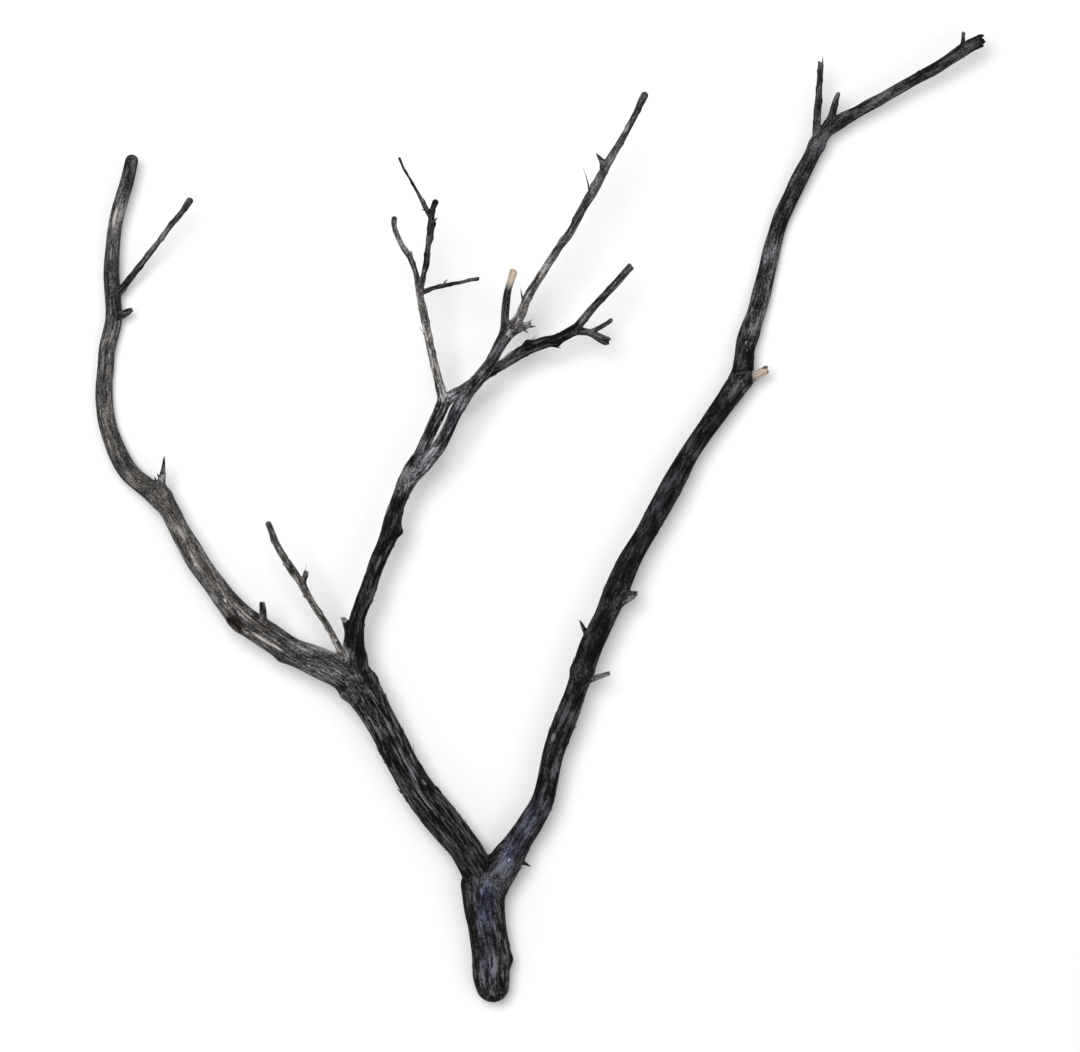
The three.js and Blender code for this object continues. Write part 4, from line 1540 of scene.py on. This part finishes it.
@dataclass
class Skin:
    """The branch's own wood, from the butt to the last twig, as one piece for each limb."""

    limbs: list[Limb]
    voxel: float
    relief: BarkRelief = field(default_factory=BarkRelief)
    cap_depth: float = 0.3 * MM
    survey: Survey = field(init=False)
    whole: bpy.types.Object = field(init=False)

    def grow(self, material: bpy.types.Material) -> None:
        """Grows the skin, surveys it, gives it its relief and rests it on the ground.

        Args:
            material: What the whole skin is made of until it is split.
        """
        corners, faces = Growth(self.limbs, self.voxel).mesh()
        self.survey = Survey(self.limbs, corners)
        base = link_mesh("grown", corners, faces)
        for name, values in self.survey.facts.items():
            write_attribute(base.data, name, values)
        self.whole = self.relief.tree(material).applied(base, "skin")
        bpy.data.objects.remove(base)
        mesh = self.whole.data
        places = np.zeros(len(mesh.vertices) * 3, np.float32)
        mesh.vertices.foreach_get("co", places)
        places[2::3] = np.maximum(places[2::3], 0.0)
        mesh.vertices.foreach_set("co", places)
        mesh.update()

    def split(self, materials: dict[Slot, bpy.types.Material]) -> list[bpy.types.Object]:
        """Splits the skin into closed pieces.

        Args:
            materials: The material of each slot.

        Returns:
            One piece for each limb, in the order of the limbs.
        """
        mesh = self.whole.data
        count = len(mesh.vertices)
        places = np.zeros(count * 3, np.float32)
        mesh.vertices.foreach_get("co", places)
        normals = np.zeros(count * 3, np.float32)
        mesh.vertex_normals.foreach_get("vector", normals)
        faces = np.zeros(len(mesh.loops), int)
        mesh.loops.foreach_get("vertex_index", faces)
        faces = faces.reshape(-1, 4)
        facts = {a.name: read_attribute(mesh, a.name) for a in mesh.attributes
                 if a.domain == "POINT" and not a.is_internal and a.name != "position"}
        owners = np.sort(self.survey.owner[0][faces], axis=1)
        owners = np.where(owners[:, 1] == owners[:, 2], owners[:, 1], owners[:, 0])
        pieces = []
        for index, limb in enumerate(self.limbs):
            piece = self.piece(limb, faces[owners == index], places.reshape(-1, 3),
                               normals.reshape(-1, 3), facts)
            piece.data.materials.append(materials[limb.plan.slot])
            pieces.append(piece)
        bpy.data.objects.remove(self.whole)
        return pieces

    def piece(self, limb: Limb, faces: np.ndarray, places: np.ndarray, normals: np.ndarray,
              facts: dict[str, np.ndarray]) -> bpy.types.Object:
        """Makes one limb's piece.

        Args:
            limb: The limb.
            faces: The skin's faces that are the limb's own.
            places: The skin's corners.
            normals: The skin's normals, which the piece keeps, so that no joint shows.
            facts: The skin's attributes.

        Returns:
            The piece, closed where the neighbours were.
        """
        used, own = np.unique(faces, return_inverse=True)
        own = own.reshape(-1, 4)
        corners = places[used]
        caps, middles = self.caps(own, corners, normals[used])
        made = link_mesh(
            limb.plan.name + "_wood", np.vstack([corners, *middles]), own.tolist() + caps
        )
        mesh = made.data
        for name, values in facts.items():
            extra = np.repeat(values[used[:1]], len(middles), axis=0)
            write_attribute(mesh, name, np.concatenate([values[used], extra]))
        mesh.polygons.foreach_set("use_smooth", [True] * len(own) + [False] * len(caps))
        shading = np.zeros((len(mesh.loops), 3), np.float32)
        shading[: own.size] = normals[used][own.reshape(-1)]
        flat = np.zeros(len(mesh.polygons) * 3, np.float32)
        mesh.polygons.foreach_get("normal", flat)
        shading[own.size :] = np.repeat(flat.reshape(-1, 3)[len(own) :], 3, axis=0)
        mesh.normals_split_custom_set(shading)
        return made

    def caps(self, faces: np.ndarray, corners: np.ndarray, normals: np.ndarray,
             ) -> tuple[list[list[int]], list[np.ndarray]]:
        """Closes the openings where a limb's neighbours were.

        Args:
            faces: The piece's faces.
            corners: The piece's corners.
            normals: The piece's normals.

        Returns:
            The triangles that close it, and the middles that they meet at.
        """
        edges = np.stack([faces, np.roll(faces, -1, axis=1)], axis=-1).reshape(-1, 2)
        forward = edges[:, 0] * len(corners) + edges[:, 1]
        backward = edges[:, 1] * len(corners) + edges[:, 0]
        rim = edges[~np.isin(forward, backward)]
        onward: dict[int, list[int]] = {}
        for start, end in rim.tolist():
            onward.setdefault(start, []).append(end)
        triangles, middles = [], []
        while onward:
            first = here = next(iter(onward))
            loop = []
            while here in onward:
                ends = onward[here]
                following = ends.pop()
                if not ends:
                    del onward[here]
                loop.append((here, following))
                here = following
                if here == first:
                    break
            rows = [start for start, _ in loop]
            middle = len(corners) + len(middles)
            inward = normals[rows].mean(axis=0) * self.cap_depth
            middles.append(corners[rows].mean(axis=0)[None] - inward)
            triangles += [[end, start, middle] for start, end in loop]
        return triangles, middles


# ---------------------------------------------------------------------------------------------
# Splinters, flakes and fibres
# ---------------------------------------------------------------------------------------------


@dataclass(frozen=True)
class SpikePlan:
    """A splinter, a whisker or a lifted fibre, at a place on a limb.

    Share and side say where it is rooted, as a mark's do. Length and root, its radius there, are
    in millimetres. Lean is its angle from straight out towards the limb's tip, and bend is how
    far it turns on its way, in degrees. Depth is how far from the middle line it is rooted, in
    radii of the limb.
    """

    limb: str
    share: float
    side: float
    length: float
    root: float
    lean: float
    bend: float = 0.0
    tone: float = 0.03
    depth: float = 0.85


def spikes(limb: str, *rows: tuple[float, ...]) -> list[SpikePlan]:
    """Spikes on one limb, with the rest of each spike's values in their order."""
    return [SpikePlan(limb, *row) for row in rows]


SPIKES: tuple[SpikePlan, ...] = (
    *spikes("long_twig", (0.6, -75, 26, 1.0, 52, -14, 0.02), (0.135, -70, 13, 1.3, 50, 14, 0.06),
            (0.69, -60, 5, 1.6, 20, 40, 0.05)),
    *spikes("crossing_bough", (0.68, -75, 17, 0.55, 92, -34, 0.10, 1.15),
            (0.70, -60, 9, 0.45, 84, -20, 0.03, 1.1), (0.69, -75, 4, 1.3, 30, 20, 0.02),
            (0.87, 75, 4, 1.2, 50, 20, 0.08)),
    *spikes("centre_side_twig", (0.44, -70, 7, 1.5, 20, 60, 0.04)),
    *spikes("fork_snag", (1.0, 80, 8, 1.4, 60, 30, 0.03, 0.6), (1.0, -60, 6, 1.2, 70, -10, 0.12, 0.6),
            (0.7, 85, 6, 1.3, 20, 30, 0.03)),
    *spikes("centre_side_twig", (0.47, -60, 4, 0.7, 70, 30, 0.04)),
    *spikes("centre_spur", (0.79, 80, 6, 1.9, 35, 20, 0.02)),
    *spikes("centre_tip", (0.14, -80, 4.5, 0.8, 35, 10, 0.04)),
    *spikes("middle_stem", (0.95, -70, 12, 0.6, 55, 50, 0.08), (0.985, -60, 10, 0.5, 35, 80, 0.05),
            (0.92, -75, 7, 0.5, 60, 30, 0.04)),
    *spikes("low_twig", (0.20, -75, 9, 1.2, 118, 24, 0.16, 1.0),
            (0.17, 70, 11, 1.2, 125, 14, 0.24, 1.1), (0.22, 15, 13, 1.1, 150, 0, 0.26, 1.1),
            (0.15, 85, 10, 1.0, 100, 30, 0.10, 1.1), (0.18, -25, 12, 1.2, 140, 10, 0.30, 1.1),
            (0.13, -70, 8, 1.3, 60, 20, 0.03, 1.0), (0.52, -70, 5, 0.8, 50, 10, 0.02),
            (0.57, 75, 4, 0.8, 110, 10, 0.02), (0.74, -75, 4, 0.7, 55, 10, 0.02)),
    *spikes("left_limb", (0.06, -85, 7, 1.6, 150, -30, 0.03), (0.07, -80, 5, 1.0, 120, 0, 0.12),
            (0.13, 80, 9, 0.8, 60, 25, 0.16), (0.15, 70, 12, 0.7, 72, 12, 0.20),
            (0.96, -80, 6, 0.6, 60, 30, 0.10)),
    *spikes("left_snag", (0.3, -75, 8, 2.0, 35, 45, 0.04), (0.45, -80, 5, 1.3, 40, 30, 0.04),
            (0.2, 80, 4, 1.6, 50, 10, 0.04)),
    *spikes("upright_twig", (1.0, 60, 10, 1.0, 85, 8, 0.05, 0.6),
            (1.0, -75, 4, 0.9, 80, -20, 0.05, 0.7)),
    *spikes("middle_base_stub", (1.0, -80, 5, 1.1, 85, 10, 0.12, 0.7)),
    *spikes("right_limb", (0.02, 80, 4, 0.9, 60, 10, 0.02)),
    *spikes("right_bough", (0.965, 80, 5, 1.0, 70, 20, 0.02)),
)


@dataclass
class Splinters:
    """The thin splinters of the broken ends, and the few whiskers and spurs along the twigs.

    Per radius is how many a broken end has for each millimetre of its radius, and end depth is
    how far before the end they are rooted, in radii.
    """

    limbs: list[Limb]
    points: int = 7
    sides: int = 6
    least_radius: float = 0.14
    per_radius: float = 1.6
    end_depth: float = 0.75
    taper: float = 0.8
    bare: float = 0.6

    def at_end(self, limb: Limb) -> list[SpikePlan]:
        """The splinters of a broken end, more of them on a thicker limb.

        Args:
            limb: The limb that ends there.

        Returns:
            The splinters, all round the end.
        """
        draw = np.random.default_rng(name_seed(limb.plan.name) + 11)
        radius = float(limb.radii[-1]) / MM
        count = int(np.clip(self.per_radius * radius, 4, 11))
        tone = limb.plan.tone[1]
        plans = []
        for index in range(count):
            side = 360 * (index + draw.uniform(-0.4, 0.4)) / count
            length = 1.0 + min(radius, 4.0) * draw.uniform(0.3, 0.8)
            root = max(0.26 * radius * draw.uniform(0.7, 1.3), 0.4)
            lean, bend = draw.uniform(78, 92), draw.uniform(-12, 12)
            bright = tone * draw.choice([0.6, 1.0, 1.6])
            depth = draw.uniform(0.45, 0.8)
            plans.append(SpikePlan(limb.plan.name, 1.0, side, length, root, lean, bend, bright, depth))
        return plans

    def course(self, limb: Limb, plan: SpikePlan) -> np.ndarray:
        """The middle line of a spike.

        Args:
            limb: The limb that it is rooted in.
            plan: The spike.

        Returns:
            Its points, from root to tip.
        """
        start, radius, heading, outward = limb.stand(plan.share, plan.side)
        heading, outward = unit(heading), unit(outward)
        if plan.share == 1.0:
            start = limb.tip - self.end_depth * radius * heading
        places = [start + outward * radius * plan.depth]
        for share in np.linspace(0, 1, self.points)[1:]:
            turn = math.radians(plan.lean + plan.bend * share)
            stride = plan.length * MM / (self.points - 1)
            places.append(places[-1] + (outward * math.cos(turn) + heading * math.sin(turn)) * stride)
        return np.array(places)

    def tree(self, material: bpy.types.Material) -> GeometryTree:
        """Builds the node tree, which turns each line into a tapering closed tube.

        Args:
            material: What the tubes are made of.

        Returns:
            The tree.
        """
        tree = GeometryTree("splinter_tubes")
        sides = tree.size("Sides", self.sides)
        lines = tree.node("GeometryNodeMeshToCurve", {}, {"Mesh": tree.way_in.socket(0)})
        ring = tree.node("GeometryNodeCurvePrimitiveCircle", {}, {"Resolution": sides, "Radius": 1.0})
        thickness = tree.attribute("thickness")
        inputs = {"Curve": lines, "Profile Curve": ring, "Scale": thickness, "Fill Caps": True}
        tubes = tree.node("GeometryNodeCurveToMesh", {}, inputs)
        place = tree.node("GeometryNodeInputPosition").arrow(0)
        tree.finish(tree.stored(tubes, "grain", place), material)
        return tree

    def grow(self, material: bpy.types.Material) -> bpy.types.Object:
        """Makes the splinters.

        Args:
            material: What they are made of.

        Returns:
            All of them, as one piece.
        """
        plans = list(SPIKES)
        for limb in self.limbs:
            if limb.plan.tip is Tip.BROKEN:
                plans += self.at_end(limb)
        by_name = {limb.plan.name: limb for limb in self.limbs}
        courses = [self.course(by_name[plan.limb], plan) for plan in plans]
        taper = (1 - np.linspace(0, 1, self.points)) ** self.taper
        thickness = [np.maximum(plan.root * taper, self.least_radius) * MM for plan in plans]
        count = self.points * len(plans)
        edges = [(i, i + 1) for i in range(count - 1) if (i + 1) % self.points]
        lines = link_mesh("splinter_lines", np.vstack(courses), [], edges)
        tones = np.repeat([plan.tone for plan in plans], self.points)
        write_attribute(lines.data, "thickness", np.concatenate(thickness))
        write_attribute(lines.data, "tone", tones)
        write_attribute(lines.data, "bare", np.full(count, self.bare))
        made = self.tree(material).applied(lines, "splinters")
        bpy.data.objects.remove(lines)
        return made


@dataclass(frozen=True)
class Litter:
    """Small bits that stand up all over the skin: flakes of bark, or fibres lifted from it.

    Length, width and thickness are one bit's, in millimetres. Lift is how steeply it may stand,
    in degrees, and curl is how far its free end rises beyond that, as a share of its length.
    Brighter is how much brighter than the wood it may be, yaw how far it may turn from the grain,
    in radians, and the spreads are how far its size may be from what is given here.
    """

    name: str
    slot: Slot
    on_bare_wood: bool
    per_square_metre: float
    length: float
    width: float
    thickness: float
    lift: float
    curl: float
    taper: float
    brighter: tuple[float, float]
    seed: int
    segments: int = 5
    least_height: float = 5 * MM
    yaw: float = 0.25
    length_spread: tuple[float, float] = (0.4, 1.5)
    width_spread: tuple[float, float] = (0.6, 1.4)

    def bit(self, tree: GeometryTree) -> Added:
        """One bit: a thin bar from the origin that tapers and curls up.

        Args:
            tree: The tree that it is for.

        Returns:
            The node that gives its mesh.
        """
        size = (self.length * MM, self.width * MM, self.thickness * MM)
        inputs = {"Size": size, "Vertices X": self.segments, "Vertices Y": 3, "Vertices Z": 2}
        bar = tree.node("GeometryNodeMeshCube", {}, inputs)
        place = tree.node("GeometryNodeInputPosition")
        parts = tree.node("ShaderNodeSeparateXYZ", {}, {0: place})
        onward = parts.value(0) + 0.5 * size[0]
        share = onward * (1 / size[0])
        height = parts.value(2) + share * share * (self.curl * size[0])
        target = tree.combined(onward, parts.value(1) * (1 - share * self.taper), height)
        return tree.node("GeometryNodeSetPosition", {}, {"Geometry": bar, "Position": target})

    def tree(self, material: bpy.types.Material) -> GeometryTree:
        """Builds the node tree, which strews the bits along the grain.

        Args:
            material: What the bits are made of.

        Returns:
            The tree.
        """
        tree = GeometryTree(self.name)
        density = tree.size("Density", self.per_square_metre)
        seed = tree.size("Seed", self.seed)
        bare = tree.attribute("bare").clipped()
        place = tree.node("GeometryNodeInputPosition")
        height = tree.node("ShaderNodeSeparateXYZ", {}, {0: place}).value(2)
        right_wood = bare if self.on_bare_wood else 1 - bare
        share = right_wood * (tree.attribute("furrow") * (1 / MM) + 0.1)
        share = share * height.rise(self.least_height, 1.5 * self.least_height)
        share = share * tree.attribute("relief").rise(-0.2, 0.3) * tree.attribute("strewn")
        inputs = {"Mesh": tree.way_in.socket(0), "Density": density * share, "Seed": seed}
        settings = {"distribute_method": "RANDOM"}
        points = tree.node("GeometryNodeDistributePointsOnFaces", settings, inputs)
        upright = tree.node("FunctionNodeAlignRotationToVector", {"axis": "Z"},
                            {"Vector": points.arrow("Normal")})
        settings = {"axis": "X", "pivot_axis": "Z"}
        inputs = {"Rotation": upright, "Vector": tree.attribute_arrow("along")}
        turned = tree.node("FunctionNodeAlignRotationToVector", settings, inputs)
        pitch = tree.draw(-math.radians(self.lift), 0.0, self.seed + 1)
        yaw = tree.draw(-self.yaw, self.yaw, self.seed + 2)
        own = tree.node("FunctionNodeEulerToRotation", {}, {"Euler": tree.combined(0.0, pitch, yaw)})
        inputs = {"Rotation": turned, "Rotate By": own}
        rotation = tree.node("FunctionNodeRotateRotation", {"rotation_space": "LOCAL"}, inputs)
        tone = tree.attribute("tone") * tree.draw(*self.brighter, self.seed + 3)
        dressed = tree.stored(points, "tone", tone)
        long = tree.draw(*self.length_spread, self.seed + 4)
        wide = tree.draw(*self.width_spread, self.seed + 5)
        inputs = {"Points": dressed, "Instance": self.bit(tree), "Rotation": rotation,
                  "Scale": tree.combined(long, wide, long)}
        tree.finish(tree.node("GeometryNodeInstanceOnPoints", {}, inputs), material)
        return tree


LITTER = (
    Litter("bark_flakes", Slot.DARK_BARK, False, 12000, 5.0, 2.2, 0.35, 10, 0.06, 0.6, (0.5, 1.7), 7),
    Litter("bark_fibres", Slot.DARK_BARK, False, 6000, 8.0, 0.6, 0.3, 5, 0.04, 0.8, (0.8, 3.0), 21),
    Litter("wood_fibres", Slot.WEATHERED_WOOD, True, 9000, 8.0, 0.6, 0.3, 5, 0.03, 0.8, (0.7, 2.0), 33),
)


@dataclass
class Studio:
    """The plain floor, the light and the camera.

    Lamps are the name, the place and the power of each, and seen width is how wide a stretch of
    the ground the camera sees.
    """

    floor_size: float = 14.0
    floor_drop: float = 0.25 * MM
    camera_height: float = 4.5
    film_width: float = 36.0
    seen_width: float = 1.188
    aim: tuple[float, float] = (1.5 * MM, -8.0 * MM)
    lamps: tuple[tuple[str, tuple[float, float, float], float], ...] = (
        ("key_light", (-0.8, 0.8, 3.8), 116.0),
        ("fill_light", (1.6, -0.6, 3.4), 22.0),
    )
    lamp_size: float = 2.4
    sky_colour: tuple[float, float, float, float] = (0.97, 0.985, 1.0, 1.0)
    sky_strength: float = 0.5
    floor_grey: float = 0.86
    floor_roughness: float = 0.95
    floor_specular: float = 0.1

    def build(self) -> bpy.types.Object:
        """Makes the floor, the lights and the camera.

        Returns:
            The floor.
        """
        half = self.floor_size / 2
        corners = [(-half, -half), (half, -half), (half, half), (-half, half)]
        corners = np.array([(x, y, -self.floor_drop) for x, y in corners])
        floor = link_mesh("floor", corners, [[0, 1, 2, 3]])
        floor.data.materials.append(self.floor_material())
        for name, place, power in self.lamps:
            self.lamp(name, place, power)
        world = bpy.data.worlds.new("studio")
        bpy.context.scene.world = world
        world.use_nodes = True
        background = world.node_tree.nodes["Background"]
        background.inputs["Color"].default_value = self.sky_colour
        background.inputs["Strength"].default_value = self.sky_strength
        self.camera()
        bpy.context.scene.view_settings.view_transform = "Standard"
        return floor

    def floor_material(self) -> bpy.types.Material:
        """Builds the floor's matt near-white.

        Returns:
            The material.
        """
        material = bpy.data.materials.new("studio_floor")
        material.use_nodes = True
        surface = material.node_tree.nodes["Principled BSDF"]
        surface.inputs["Base Color"].default_value = (*[self.floor_grey] * 3, 1.0)
        surface.inputs["Roughness"].default_value = self.floor_roughness
        surface.inputs["Specular IOR Level"].default_value = self.floor_specular
        return material

    def lamp(self, name: str, place: tuple[float, float, float], power: float) -> None:
        """Hangs one large soft light that faces the branch.

        Args:
            name: Its name.
            place: Where it hangs.
            power: How strong it is, in watts.
        """
        light = bpy.data.lights.new(name, "AREA")
        light.shape = "DISK"
        light.size = self.lamp_size
        light.energy = power
        lamp = bpy.data.objects.new(name, light)
        lamp.location = place
        lamp.rotation_euler = (-Vector(place)).to_track_quat("-Z", "Y").to_euler()
        bpy.context.scene.collection.objects.link(lamp)

    def camera(self) -> None:
        """Sets the camera straight above the branch."""
        lens = bpy.data.cameras.new("camera")
        lens.sensor_width = self.film_width
        lens.lens = self.film_width * self.camera_height / self.seen_width
        lens.clip_end = 50.0
        camera = bpy.data.objects.new("camera", lens)
        camera.location = (*self.aim, self.camera_height)
        bpy.context.scene.collection.objects.link(camera)
        bpy.context.scene.camera = camera


def hand_over(piece: bpy.types.Object, slot: Slot) -> None:
    """Gives a finished piece its body, and reports it.

    Args:
        piece: The piece.
        slot: Not used.
    """
    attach(piece, BODY)
    log.info("%s: %d faces", piece.name, len(piece.data.polygons))


def main() -> None:
    """Builds the branch and the studio around it."""
    materials = {finish.slot: finish.material() for finish in FINISHES}
    grown: dict[str, Limb] = {}
    for plan in LIMBS:
        grown[plan.name] = Limb(plan, grown.get(plan.parent))
    voxel = VOXEL
    skin = Skin(list(grown.values()), voxel)
    skin.grow(materials[Slot.DARK_BARK])
    strewn = [
        (kind, kind.tree(materials[kind.slot]).applied(skin.whole, kind.name)) for kind in LITTER
    ]
    for plan, piece in zip(LIMBS, skin.split(materials)):
        hand_over(piece, plan.slot)
        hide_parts(plan.name)
    for kind, piece in strewn:
        hand_over(piece, kind.slot)
    splinters = Splinters(skin.limbs).grow(materials[Slot.WEATHERED_WOOD])
    hand_over(splinters, Slot.WEATHERED_WOOD)
    Studio().build()


if __name__ == "__main__":
    main()
